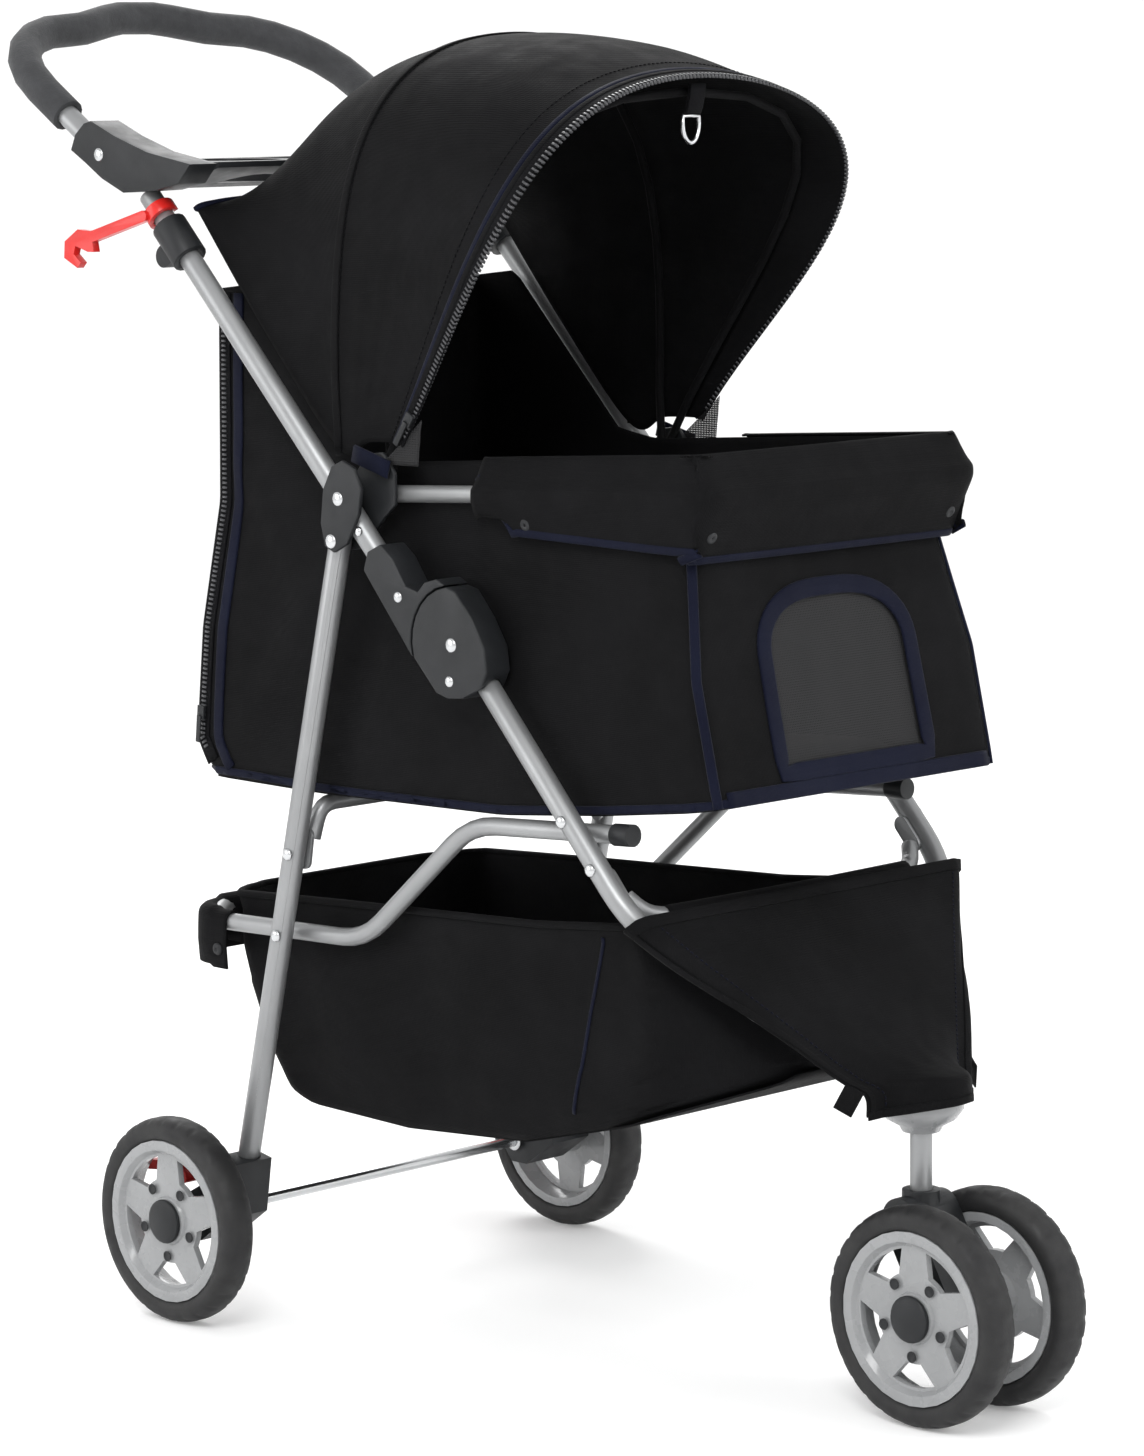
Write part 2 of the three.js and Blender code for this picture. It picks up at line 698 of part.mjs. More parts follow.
add('rear_support_bar', rearSupportBar(), SILVER_PAINT);
const REAR_AXLE_END = REAR_WHEEL_Y + TYRE_WIDTH / 2 - 3.2;
add('rear_axle', rod(at(0, -REAR_AXLE_END, WHEEL_RADIUS), at(0, REAR_AXLE_END, WHEEL_RADIUS), AXLE_RADIUS), STEEL);

// ---------------------------------------------------------------- basket tube and basket
const TUBE_FRONT = [398, 391.7];

function basketTube() {
  const half = [
    at(TUBE_FRONT[0], -LINK_Y, TUBE_FRONT[1]),
    at(250, -LINK_Y, 383),
    at(140, -LINK_Y, 289),
    at(-20, -LINK_Y, 284),
    at(-41, -118, 288),
    at(-43, -60, 289),
  ];
  return tube(bent(mirrored(half), 24, 4), LINK_RADIUS);
}

add('basket_tube', basketTube(), SILVER_PAINT);

for (const side of SIDES) {
  const { name, y } = side;
  const slope = at(TUBE_FRONT[0] - 250, 0, TUBE_FRONT[1] - 383).normalize();
  const tip = at(TUBE_FRONT[0], y * LINK_Y, TUBE_FRONT[1]);
  const capEnd = tip.clone().addScaledVector(slope, 7.5);
  const capStart = tip.clone().addScaledVector(slope, -9);
  const hollow = rod(capStart.clone().addScaledVector(slope, -5), tip.clone().addScaledVector(slope, 0.5),
    LINK_RADIUS + FIT_GAP);
  add(`tube_cap_${name}`, cut(rod(capStart, capEnd, LINK_RADIUS + 1.2), hollow), BLACK_PLASTIC);
  add(`link_spacer_${name}`, rod(at(LINK_FRONT[0], y * (LINK_Y + LINK_RADIUS + FIT_GAP), LINK_FRONT[1] - 3),
    at(LINK_FRONT[0], y * (FRAME_Y - TUBE_RADIUS - FIT_GAP), LINK_FRONT[1] - 3), 5), BLACK_PLASTIC);
}

// The basket hangs as a bag between the tube's rear cross and the front cross bar.
function basketShell() {
  const outerSide = [
    [-34, 300],
    [-22, 240],
    [2, 164],
    [40, 149],
    [140, 146],
    [265, 156],
    [372, 184],
    [466, 219],
    [482, 232],
    [408, 316],
    [402, 328],
    [300, 318],
    [100, 309],
  ];
  const innerSide = [
    [-30, 340],
    [-19, 241],
    [5, 167],
    [41, 152.5],
    [140, 149.5],
    [264, 159.5],
    [371, 187.5],
    [463, 222],
    [476, 232],
    [404, 314],
    [398, 340],
  ];
  const outerFront = [[-98, 140], [98, 140], [116, 190], [124, 260], [127, 345], [-127, 345], [-124, 260], [-116, 190]];
  const innerFront = outerFront.map(([y, z]) => [y - Math.sign(y) * 3, z]);
  const plan = (inset) => outline([
    [-60 + inset, -86],
    [-12, -127 + inset],
    [402 - inset, -127 + inset],
    [484, -52 + inset],
    [484, 52 - inset],
    [402 - inset, 127 - inset],
    [-12, 127 - inset],
    [-60 + inset, 86],
  ]);
  const outer = common(sidePlate(outline(outerSide), -200, 200), frontPrism(outerFront, -80, 520),
    planPrism(plan(0), 100, 400));
  const inner = common(sidePlate(outline(innerSide), -200, 200), frontPrism(innerFront, -80, 520),
    planPrism(plan(3), 100, 400));
  return cut(outer, inner);
}

add('basket_bag', basketShell(), FABRIC);

// ---------------------------------------------------------------- cabin
const floorZ = (x) => FLOOR_REAR_Z + FLOOR_RISE * (x + 5);
const CABIN_BOTTOM = [[-5, FLOOR_REAR_Z], [93, 389.5], [281, 393.5], [377, 403], [460, 413.5]];

// Half the cabin's width at each height: fullest low down, narrower at the rim.
const CABIN_SIDE = [[139, 370], [141, 430], [141, 500], [131, 590], [129, 780]];

function cabinFront(inset) {
  const left = CABIN_SIDE.map(([y, z]) => [y - inset, z]);
  const right = CABIN_SIDE.map(([y, z]) => [inset - y, z]).reverse();
  return [...left, ...right];
}

function cabinShell() {
  const rim = [[455, 645], [300, 636], [170, 628], [132, 634], [25, 747], [-21, 742]];
  const outerSide = [
    [CABIN_REAR_X, 418],
    [CABIN_REAR_X + 10, 402],
    ...CABIN_BOTTOM,
    [CABIN_FRONT_X, 418],
    [446, 588],
    ...rim,
    [-22, 590],
  ];
  const wall = CABIN_WALL;
  const innerSide = [
    [CABIN_REAR_X + wall, 420],
    [-28, 405],
    ...CABIN_BOTTOM.map(([x, z]) => [x, z + wall]),
    [CABIN_FRONT_X - wall - 0.5, 421],
    [446 - wall, 587],
    [452, 645],
    [452, 800],
    [-21 + wall, 800],
    [-22 + wall, 590],
  ];
  const outer = common(sidePlate(outline(outerSide), -200, 200), frontPrism(cabinFront(0), -100, 520));
  const inner = common(sidePlate(outline(innerSide), -200, 200), frontPrism(cabinFront(wall), -100, 520));
  const window = frontPrism([[-72, 430], [72, 430], [72, 520], [52, 552], [-52, 552], [-72, 520]], 440, 520);
  return narrowed(cut(outer, inner, window));
}

// The rim of the cabin is narrower at the front than at the hinges.
function narrowed(geometry) {
  const place = geometry.attributes.position;
  for (let i = 0; i < place.count; i += 1) {
    const forward = THREE.MathUtils.clamp((place.getX(i) - 170) / 285, 0, 1);
    const high = THREE.MathUtils.clamp((place.getZ(i) - 500) / 88, 0, 1);
    place.setY(i, place.getY(i) * (1 - 0.055 * forward * high));
  }
  return geometry;
}

add('cabin_shell', cabinShell(), FABRIC);

// A slab that lies on the cabin's floor, from one height above it to another.
function floorSlab(x0, x1, halfWidth, low, high, corner) {
  const plan = planPrism(roundedRectangle(x0, -halfWidth, x1, halfWidth, corner), 350, 500);
  const side = outline([
    [x0 - 5, floorZ(x0 - 5) + low],
    [x1 + 5, floorZ(x1 + 5) + low],
    [x1 + 5, floorZ(x1 + 5) + high],
    [x0 - 5, floorZ(x0 - 5) + high],
  ]);
  return common(plan, sidePlate(side, -200, 200));
}

add('floor_board', floorSlab(3, 448, 122, CABIN_WALL + 0.4, CABIN_WALL + 4.4, 16), BOARD);
add('seat_pad', floorSlab(-6, 446, 122, CABIN_WALL + 4.8, CABIN_WALL + 22, 26), FABRIC);

function cabinRimTube() {
  const half = [
    at(164, -RIM_Y, RIM_Z),
    at(464, -131, RIM_Z + 15),
    at(465, -60, RIM_Z + 15),
  ];
  return tube(bent(mirrored(half), 14, 4), BAR_RADIUS);
}

add('cabin_rim_tube', cabinRimTube(), SILVER_PAINT);

// ---------------------------------------------------------------- canopy
// Each rib is an arch over the canopy: its foot and its top as [x, z], its half-widths, and how far its
// crown leans forward of its sides.
const RIBS = [
  { foot: [-19, 800], top: [-10, 808], width: 146, shoulder: 0.5, side: 147, crown: 100, lean: 0 },
  { foot: [55, 712], top: [66, 896], width: 146, shoulder: 0.5, side: 148, crown: 126, lean: 0 },
  { foot: [128, 636], top: [158, 922], width: 146, shoulder: 0.5, side: 158, crown: 166, lean: 11 },
  { foot: [162, 642], top: [255, 918], width: 148, shoulder: 0.45, side: 155, crown: 205, lean: -10 },
  { foot: [196, 643], top: [342, 892], width: 149.4, shoulder: 0.4, side: 150, crown: 247, lean: -28 },
];

const blend = (values, t) => new THREE.SplineCurve(values.map((v, i) => new THREE.Vector2(i, v))).getPoint(t).y;

function canopyPoint(along, across, depth) {
  const value = (pick) => blend(RIBS.map(pick), along);
  const foot = [value((rib) => rib.foot[0]), value((rib) => rib.foot[1])];
  const top = [value((rib) => rib.top[0]), value((rib) => rib.top[1])];
  const shoulder = value((rib) => rib.shoulder);
  const half = new THREE.CubicBezierCurve(
    new THREE.Vector2(0, value((rib) => rib.width) - depth),
    new THREE.Vector2(shoulder, value((rib) => rib.side) - depth),
    new THREE.Vector2(1, value((rib) => rib.crown) - depth),
    new THREE.Vector2(1, 0),
  ).getPoint(1 - Math.abs(across));
  const run = top[0] - foot[0];
  const rise = top[1] - foot[1];
  const length = Math.hypot(run, rise);
  const climb = half.x * (1 - depth / length);
  const lean = (value((rib) => rib.lean) * (1 - (half.y / 150) ** 2 - climb)) / length;
  return at(foot[0] + run * climb + rise * lean, Math.sign(across) * half.y, foot[1] + rise * climb - run * lean);
}

function canopyGrid(depth) {
  const rows = 13;
  const columns = 21;
  return Array.from({ length: rows }, (_, r) => Array.from({ length: columns }, (_, c) =>
    canopyPoint(r / (rows - 1), (2 * c) / (columns - 1) - 1, depth)));
}

add('canopy_shell', skin(canopyGrid(0), canopyGrid(2.5)), FABRIC);

// A bow is a hoop that stands on the pivot pins and lifts the canopy.
function bow(angle, height, footY, sideY, crownY) {
  const lean = [Math.cos(angle), Math.sin(angle)];
  const place = (distance, y) => at(BOW_PIVOT[0] + lean[0] * distance, y, BOW_PIVOT[1] + lean[1] * distance);
  const curve = new THREE.CubicBezierCurve3(
    place(0.14 * height, -footY),
    place(0.52 * height, -sideY),
    place(height, -crownY),
    place(height, 0),
  );
  const half = curve.getPoints(9).slice(0, -1);
  const hoop = tube([place(0, -footY), ...half, place(height, 0), ...half.reverse().map((p) => at(p.x, -p.y, p.z)),
    place(0, footY)], BOW_RADIUS, 0, 8);
  const eyes = SIDES.map(({ y }) => rod(at(BOW_PIVOT[0], y * (footY - BOW_RADIUS), BOW_PIVOT[1]),
    at(BOW_PIVOT[0], y * (footY + BOW_RADIUS), BOW_PIVOT[1]), 5));
  const holes = SIDES.map(({ y }) => rod(at(BOW_PIVOT[0], y * 120, BOW_PIVOT[1]), at(BOW_PIVOT[0], y * 160,
    BOW_PIVOT[1]), 1.5 + FIT_GAP, 10));
  return cut(join(hoop, ...eyes), ...holes);
}

add('canopy_front_bow', bow(THREE.MathUtils.degToRad(58.6), 303, 141.6, 146, 216), STEEL);
add('canopy_middle_bow', bow(THREE.MathUtils.degToRad(92.3), 290, 135, 143, 150), STEEL);

// ---------------------------------------------------------------- origin
const handleReach = HANDLE_STRAIGHT + HANDLE_BEND + HANDLE_CROWN;
const rearMost = HANDLE_START[0] + Math.cos(HANDLE_ANGLE) * handleReach - GRIP_RADIUS;
const frontMost = WHEELBASE + WHEEL_RADIUS;
model.position.x = -(rearMost + frontMost) / 2;

export default stroller;
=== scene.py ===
import json
import math

import bmesh
import bpy
from mathutils import Matrix, Vector, noise


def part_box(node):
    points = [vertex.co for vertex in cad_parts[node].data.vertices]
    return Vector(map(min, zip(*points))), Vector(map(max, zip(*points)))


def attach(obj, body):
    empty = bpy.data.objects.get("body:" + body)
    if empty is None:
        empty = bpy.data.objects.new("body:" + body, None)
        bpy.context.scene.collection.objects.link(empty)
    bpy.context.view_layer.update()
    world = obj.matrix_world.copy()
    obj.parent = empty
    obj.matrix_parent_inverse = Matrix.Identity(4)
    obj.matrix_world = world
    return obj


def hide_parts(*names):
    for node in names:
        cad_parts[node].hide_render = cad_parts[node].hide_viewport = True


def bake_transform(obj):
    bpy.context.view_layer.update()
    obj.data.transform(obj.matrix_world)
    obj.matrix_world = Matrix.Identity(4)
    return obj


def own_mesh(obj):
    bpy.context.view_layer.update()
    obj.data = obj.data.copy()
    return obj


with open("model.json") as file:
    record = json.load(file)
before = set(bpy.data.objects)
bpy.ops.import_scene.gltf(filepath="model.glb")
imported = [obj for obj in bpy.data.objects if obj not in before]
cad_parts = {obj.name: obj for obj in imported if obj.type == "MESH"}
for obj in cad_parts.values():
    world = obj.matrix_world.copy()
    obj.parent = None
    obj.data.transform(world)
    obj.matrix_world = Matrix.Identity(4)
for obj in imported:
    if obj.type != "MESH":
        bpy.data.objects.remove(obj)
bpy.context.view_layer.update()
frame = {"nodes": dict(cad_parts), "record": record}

# Lengths in the functions below are in millimetres, with X counted from the rear axle.
MM = 0.001
axle_low, axle_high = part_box("rear_axle")
AXLE_X = (axle_low.x + axle_high.x) / 2
FRAME_Y = 157.0
TUBE_RADIUS = 8.0
RIM_Z = 606.0
SIDES = (("right", -1), ("left", 1))


def place(x, y, z):
    return Vector((AXLE_X + x * MM, y * MM, z * MM))


def in_mm(point):
    return Vector(((point[0] - AXLE_X) / MM, point[1] / MM, point[2] / MM))


def ramp(value, pairs):
    """Straight-line interpolation through (place, value) pairs."""
    if value <= pairs[0][0]:
        return pairs[0][1]
    for (a, low), (b, high) in zip(pairs, pairs[1:]):
        if value <= b:
            return low + (high - low) * (value - a) / (b - a)
    return pairs[-1][1]


def smooth(value, low, high):
    share = min(max((value - low) / (high - low), 0.0), 1.0)
    return share * share * (3 - 2 * share)


# ------------------------------------------------------------------ materials
class Look:
    """A procedural material: one shader, and the noise that varies its colour and its relief."""

    def __init__(self, name, colour, roughness, metallic=0.0, sheen=0.0, coat=0.0):
        self.material = bpy.data.materials.new(name)
        self.material.use_nodes = True
        self.tree = self.material.node_tree
        self.shader = self.tree.nodes["Principled BSDF"]
        self.colour = colour
        self.roughness = roughness
        self.set("Base Color", (*colour, 1.0))
        self.set("Roughness", roughness)
        self.set("Metallic", metallic)
        self.set("Sheen Weight", sheen)
        self.set("Sheen Roughness", 0.45)
        self.set("Coat Weight", coat)
        self.set("Coat Roughness", 0.15)
        self.place = self.add("ShaderNodeTexCoord").outputs["Object"]
        self.height = None

    def set(self, socket, value):
        self.shader.inputs[socket].default_value = value

    def add(self, kind, **settings):
        node = self.tree.nodes.new(kind)
        for key, value in settings.items():
            setattr(node, key, value)
        return node

    def link(self, source, target):
        self.tree.links.new(source, target)

    def noise(self, scale, detail=3.0, stretch=(1, 1, 1)):
        node = self.add("ShaderNodeTexNoise")
        node.inputs["Scale"].default_value = scale
        node.inputs["Detail"].default_value = detail
        mapping = self.add("ShaderNodeMapping")
        mapping.inputs["Scale"].default_value = stretch
        self.link(self.place, mapping.inputs["Vector"])
        self.link(mapping.outputs["Vector"], node.inputs["Vector"])
        return node.outputs["Fac"]

    def bands(self, period, direction):
        """Straight bands across one axis, with their period in metres."""
        node = self.add("ShaderNodeTexWave", bands_direction=direction)
        node.inputs["Scale"].default_value = 2 * math.pi / (20 * period)
        self.link(self.place, node.inputs["Vector"])
        return node.outputs["Fac"]

    def math(self, operation, a, b):
        node = self.add("ShaderNodeMath", operation=operation)
        for socket, value in zip(node.inputs, (a, b)):
            if isinstance(value, (int, float)):
                socket.default_value = value
            else:
                self.link(value, socket)
        return node.outputs[0]

    def spread(self, factor, low, high):
        node = self.add("ShaderNodeMapRange")
        self.link(factor, node.inputs["Value"])
        node.inputs["From Min"].default_value = 0.3
        node.inputs["From Max"].default_value = 0.7
        node.inputs["To Min"].default_value = low
        node.inputs["To Max"].default_value = high
        return node.outputs["Result"]

    def vary_colour(self, factor, other):
        node = self.add("ShaderNodeMix", data_type="RGBA")
        self.link(factor, node.inputs["Factor"])
        node.inputs[6].default_value = (*self.colour, 1.0)
        node.inputs[7].default_value = (*other, 1.0)
        self.link(node.outputs[2], self.shader.inputs["Base Color"])

    def vary_roughness(self, factor, amount):
        self.link(self.spread(factor, self.roughness - amount, self.roughness + amount),
                  self.shader.inputs["Roughness"])

    def relief(self, factor, weight):
        part = self.math("MULTIPLY", factor, weight)
        self.height = part if self.height is None else self.math("ADD", self.height, part)

    def finish(self, depth, strength=1.0):
        bump = self.add("ShaderNodeBump")
        bump.inputs["Distance"].default_value = depth
        bump.inputs["Strength"].default_value = strength
        self.link(self.height, bump.inputs["Height"])
        self.link(bump.outputs["Normal"], self.shader.inputs["Normal"])
        return self.material


def woven(name, colour, lighter, roughness=0.75, sheen=0.015, period=0.0013):
    look = Look(name, colour, roughness, sheen=sheen)
    look.vary_colour(look.spread(look.noise(14, 4), 0, 1), lighter)
    look.vary_roughness(look.noise(55), 0.07)
    for direction in "XYZ":
        look.relief(look.bands(period, direction), 0.3)
    look.relief(look.noise(260, 2), 0.7)
    look.relief(look.noise(28, 3), 2.0)
    look.set("Specular IOR Level", 0.05)
    return look.finish(0.0004, 0.6)


def moulded(name, colour, lighter, roughness, coat=0.0):
    look = Look(name, colour, roughness, coat=coat)
    look.set("Specular IOR Level", 0.3)
    look.vary_colour(look.spread(look.noise(24, 5), 0, 1), lighter)
    look.vary_roughness(look.noise(70, 4), 0.06)
    look.relief(look.noise(900, 2), 1.0)
    return look.finish(0.00012, 0.5)


def metal(name, colour, lighter, roughness, metallic):
    look = Look(name, colour, roughness, metallic)
    look.vary_colour(look.spread(look.noise(18, 5), 0, 1), lighter)
    look.vary_roughness(look.noise(60, 4, (1, 1, 1)), 0.03)
    look.relief(look.noise(300, 3, (1, 1, 1)), 1.0)
    return look.finish(0.00002, 0.25)


def netting(name, colour, pitch, thread, directions="YZ"):
    """Net cloth: a square grid of threads with clear holes."""
    look = Look(name, colour, 0.75, sheen=0.02)
    clear = None
    for direction in directions:
        line = look.math("GREATER_THAN", look.bands(pitch, direction), 1 - thread)
        clear = line if clear is None else look.math("MAXIMUM", clear, line)
    look.link(clear, look.shader.inputs["Alpha"])
    look.relief(look.noise(400), 1.0)
    return look.finish(0.0001)


def foam_look():
    look = Look("foam", (0.022, 0.023, 0.025), 0.85, sheen=0.08)
    look.vary_colour(look.spread(look.noise(60, 6), 0, 1), (0.034, 0.035, 0.038))
    look.vary_roughness(look.noise(200), 0.06)
    look.relief(look.noise(700, 4), 1.0)
    look.relief(look.noise(120, 3), 1.2)
    return look.finish(0.0005, 0.8)


def rubber_look():
    look = Look("tyre", (0.011, 0.011, 0.012), 0.62)
    look.set("Specular IOR Level", 0.35)
    look.vary_colour(look.spread(look.noise(40, 5), 0, 1), (0.020, 0.020, 0.020))
    look.vary_roughness(look.noise(90), 0.1)
    look.relief(look.noise(600, 3), 1.0)
    return look.finish(0.0002, 0.6)


LOOKS = {
    "black_fabric": woven("black_fabric", (0.0040, 0.0040, 0.0043), (0.0062, 0.0062, 0.0068)),
    "lining": woven("lining", (0.0030, 0.0030, 0.0035), (0.0050, 0.0050, 0.0060), 0.7),
    "navy": woven("navy_binding", (0.0040, 0.0048, 0.0125), (0.0060, 0.0075, 0.0180), 0.65, 0.04, 0.0011),
    "black_plastic": moulded("black_plastic", (0.009, 0.010, 0.011), (0.015, 0.016, 0.018), 0.5),
    "zip_teeth": moulded("zip_teeth", (0.030, 0.031, 0.034), (0.045, 0.046, 0.050), 0.3, coat=0.3),
    "grey_plastic": moulded("grey_plastic", (0.27, 0.275, 0.28), (0.23, 0.235, 0.24), 0.28, coat=0.5),
    "red_plastic": moulded("red_plastic", (0.62, 0.018, 0.014), (0.50, 0.012, 0.010), 0.35, coat=0.3),
    "silver_tube": metal("silver_tube", (0.27, 0.275, 0.28), (0.31, 0.315, 0.32), 0.40, 0.6),
    "bright_steel": metal("bright_steel", (0.62, 0.63, 0.64), (0.52, 0.53, 0.54), 0.24, 1.0),
    "foam": foam_look(),
    "tyre": rubber_look(),
    "board": moulded("board", (0.02, 0.02, 0.022), (0.03, 0.03, 0.032), 0.7),
    "net": netting("net", (0.005, 0.005, 0.006), 0.0016, 0.5),
    "net_side": netting("net_side", (0.005, 0.005, 0.006), 0.0016, 0.5, "XZ"),
}


# ------------------------------------------------------------------ mesh helpers
def piece(name, verts, faces, look, body):
    """A new mesh object made of points in metres."""
    data = bpy.data.meshes.new(name)
    data.from_pydata([tuple(v) for v in verts], [], faces)
    data.validate()
    data.polygons.foreach_set("use_smooth", [True] * len(data.polygons))
    data.materials.append(LOOKS[look])
    obj = bpy.data.objects.new(name, data)
    bpy.context.scene.collection.objects.link(obj)
    recalculate(obj)
    if body:
        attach(obj, body)
    return obj


def recalculate(obj):
    """Turns all faces outwards."""
    work = bmesh.new()
    work.from_mesh(obj.data)
    bmesh.ops.recalc_face_normals(work, faces=work.faces)
    work.to_mesh(obj.data)
    work.free()


def settle(obj, body):
    """A piece of the cabin, carried by a body and given its own copy of the mesh."""
    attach(obj, body)
    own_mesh(obj)


def thicken(obj, thickness):
    modifier = obj.modifiers.new("thickness", "SOLIDIFY")
    modifier.thickness = thickness * MM
    modifier.offset = -1.0
    return modifier


def bake(obj):
    """Applies all of an object's modifiers to its mesh."""
    graph = bpy.context.evaluated_depsgraph_get()
    graph.update()
    data = bpy.data.meshes.new_from_object(obj.evaluated_get(graph))
    obj.modifiers.clear()
    obj.data = data
    return obj


def grid(name, surface, columns, rows, look, body, closed=False):
    """A sheet through surface(u, v) in millimetres; u and v go from 0 to 1."""
    across = columns if closed else columns + 1
    verts = []
    for j in range(rows + 1):
        for i in range(across):
            x, y, z = surface(i / columns, j / rows)
            verts.append(place(x, y, z))
    faces = []
    for j in range(rows):
        for i in range(columns):
            k = (i + 1) % across
            faces.append((j * across + i, j * across + k, (j + 1) * across + k, (j + 1) * across + i))
    return piece(name, verts, faces, look, body)


def sweep(name, points, section, look, body, normals=None, closed=False):
    """Carries a closed section of (across, out) points, in millimetres, along a line of points."""
    count = len(points)
    points = [Vector(p) for p in points]
    verts = []
    normal = Vector((0.0, 0.013, 1.0))
    for i, point in enumerate(points):
        before = points[(i - 1) % count] if closed or i else points[0]
        after = points[(i + 1) % count] if closed or i < count - 1 else points[-1]
        along = (after - before).normalized()
        if normals:
            normal = Vector(normals[i])
        elif abs(normal.dot(along)) > 0.98:
            normal = along.orthogonal()
        normal = (normal - along * normal.dot(along)).normalized()
        side = along.cross(normal)
        for across, out in section:
            verts.append(place(*(point + side * across + normal * out)))
    size = len(section)
    faces = []
    for i in range(count if closed else count - 1):
        for k in range(size):
            a = i * size + k
            b = i * size + (k + 1) % size
            c = ((i + 1) % count) * size + (k + 1) % size
            d = ((i + 1) % count) * size + k
            faces.append((a, b, c, d))
    if not closed:
        faces.append(tuple(range(size)))
        faces.append(tuple(range((count - 1) * size, count * size)))
    return piece(name, verts, faces, look, body)


def round_section(radius, sides):
    return [(radius * math.cos(2 * math.pi * k / sides), radius * math.sin(2 * math.pi * k / sides))
            for k in range(sides)]


def band_section(width, height):
    """A flat band with rounded edges."""
    w, h = width / 2, height
    return [(-w, 0), (-w + 0.3 * h, h * 0.8), (-w + h, h), (w - h, h), (w - 0.3 * h, h * 0.8), (w, 0),
            (w - 0.4 * h, -0.2), (-w + 0.4 * h, -0.2)]


def normal_of(surface, u, v, outward):
    """The surface's normal, turned to the side of the outward vector."""
    step = 0.002
    a = Vector(surface(min(u + step, 1), v)) - Vector(surface(max(u - step, 0), v))
    b = Vector(surface(u, min(v + step, 1))) - Vector(surface(u, max(v - step, 0)))
    normal = a.cross(b)
    if normal.length < 1e-9:
        return Vector(outward).normalized()
    normal.normalize()
    return -normal if normal.dot(Vector(outward)) < 0 else normal


def seam(name, surface, track, width, height, look, body, centre, lift, closed=False):
    """A band that lies on a surface along a track of (u, v) places. centre is a point behind the surface."""
    points = []
    normals = []
    for u, v in track:
        point = Vector(surface(u, v))
        normal = normal_of(surface, u, v, point - Vector(centre))
        points.append(point + normal * lift)
        normals.append(normal)
    return sweep(name, points, band_section(width, height), look, body, normals, closed)


def stitches(name, surface, track, look, body, centre, lift,
             length=2.6, pitch=4.2, width=0.8, height=0.5):
    """A row of short raised stitches, or of a zip's teeth, along a track of (u, v) places."""
    points = [Vector(surface(u, v)) for u, v in track]
    normals = [normal_of(surface, u, v, p - Vector(centre)) for (u, v), p in zip(track, points)]
    verts = []
    faces = []
    walked = 0.0
    due = 0.0
    for i in range(len(points) - 1):
        step = points[i + 1] - points[i]
        size = step.length
        while size > 1e-6 and walked + size >= due:
            share = (due - walked) / size
            normal = normals[i].lerp(normals[i + 1], share).normalized()
            centre_point = points[i].lerp(points[i + 1], share) + normal * lift
            along = step.normalized()
            side = along.cross(normal).normalized()
            base = len(verts)
            for a, b, c in ((-0.5, -0.5, 0), (-0.5, 0.5, 0), (0.5, 0.5, 0), (0.5, -0.5, 0),
                            (-0.35, -0.35, 1), (-0.35, 0.35, 1), (0.35, 0.35, 1), (0.35, -0.35, 1)):
                corner = along * a * length + side * b * width + normal * c * height
                verts.append(place(*(centre_point + corner)))
            for quad in ((0, 1, 2, 3), (4, 7, 6, 5), (0, 4, 5, 1), (1, 5, 6, 2), (2, 6, 7, 3), (3, 7, 4, 0)):
                faces.append(tuple(base + q for q in quad))
            due += pitch
        walked += size
    return piece(name, verts, faces, look, body)


def lathe(name, profile, centre, axis, look, body, segments):
    """A profile of (radius, height) turned about an axis through centre; its ends close on the axis."""
    axis = Vector(axis).normalized()
    side = axis.orthogonal().normalized()
    other = axis.cross(side)
    centre = Vector(centre)
    verts = []
    rings = []
    for radius, height in profile:
        if radius < 1e-6:
            rings.append([len(verts)])
            verts.append(place(*(centre + axis * height)))
            continue
        ring = []
        for k in range(segments):
            angle = 2 * math.pi * k / segments
            ring.append(len(verts))
            spoke = side * math.cos(angle) + other * math.sin(angle)
            verts.append(place(*(centre + axis * height + spoke * radius)))
        rings.append(ring)
    faces = []
    for a, b in zip(rings, rings[1:]):
        for k in range(segments):
            n = (k + 1) % segments
            if len(a) == 1:
                faces.append((a[0], b[k], b[n]))
            elif len(b) == 1:
                faces.append((a[k], a[n], b[0]))
            else:
                faces.append((a[k], a[n], b[n], b[k]))
    return piece(name, verts, faces, look, body)


def rivet(name, x, y, z, body, radius):
    side = 1 if y > 0 else -1
    profile = [(0, -0.6), (radius, -0.6), (radius, 0.4), (radius * 0.86, 1.3), (radius * 0.55, 1.9), (0, 2.2)]
    return lathe(name, profile, (x, y, z), (0, side, 0), "bright_steel", body, 20)


# ------------------------------------------------------------------ carried-over CAD nodes
BEVELS = {
    "parent_tray": 2.4, "lock_sleeve": 2.6, "knee_housing": 2.6, "tray_socket": 1.4, "hinge_plate": 1.2,
    "pivot_bracket": 1.2, "rear_housing": 2.0, "swivel_fork": 2.2, "brake_pedal": 1.2, "fold_hook": 1.3,
    "front_casting": 1.6, "rim": 0.9, "hub_cap": 0.8, "tube_cap": 1.0, "knee_plate": 0.5,
    "floor_board": 0.8,
}


def refine(name, node):
    """Rounds a hard node's edges and shades its curved faces as smooth."""
    node.data.polygons.foreach_set("use_smooth", [True] * len(node.data.polygons))
    weld = node.modifiers.new("weld", "WELD")
    weld.merge_threshold = 0.00002
    flat = node.modifiers.new("flat", "DECIMATE")
    flat.decimate_type = "DISSOLVE"
    flat.angle_limit = math.radians(1.0)
    bevel = node.modifiers.new("edges", "BEVEL")
    widths = [width for key, width in BEVELS.items() if key in name]
    bevel.width = (widths[0] if widths else 0.4) * MM
    bevel.segments = 3 if widths else 2
    bevel.limit_method = "ANGLE"
    bevel.angle_limit = math.radians(38)
    bevel.harden_normals = True


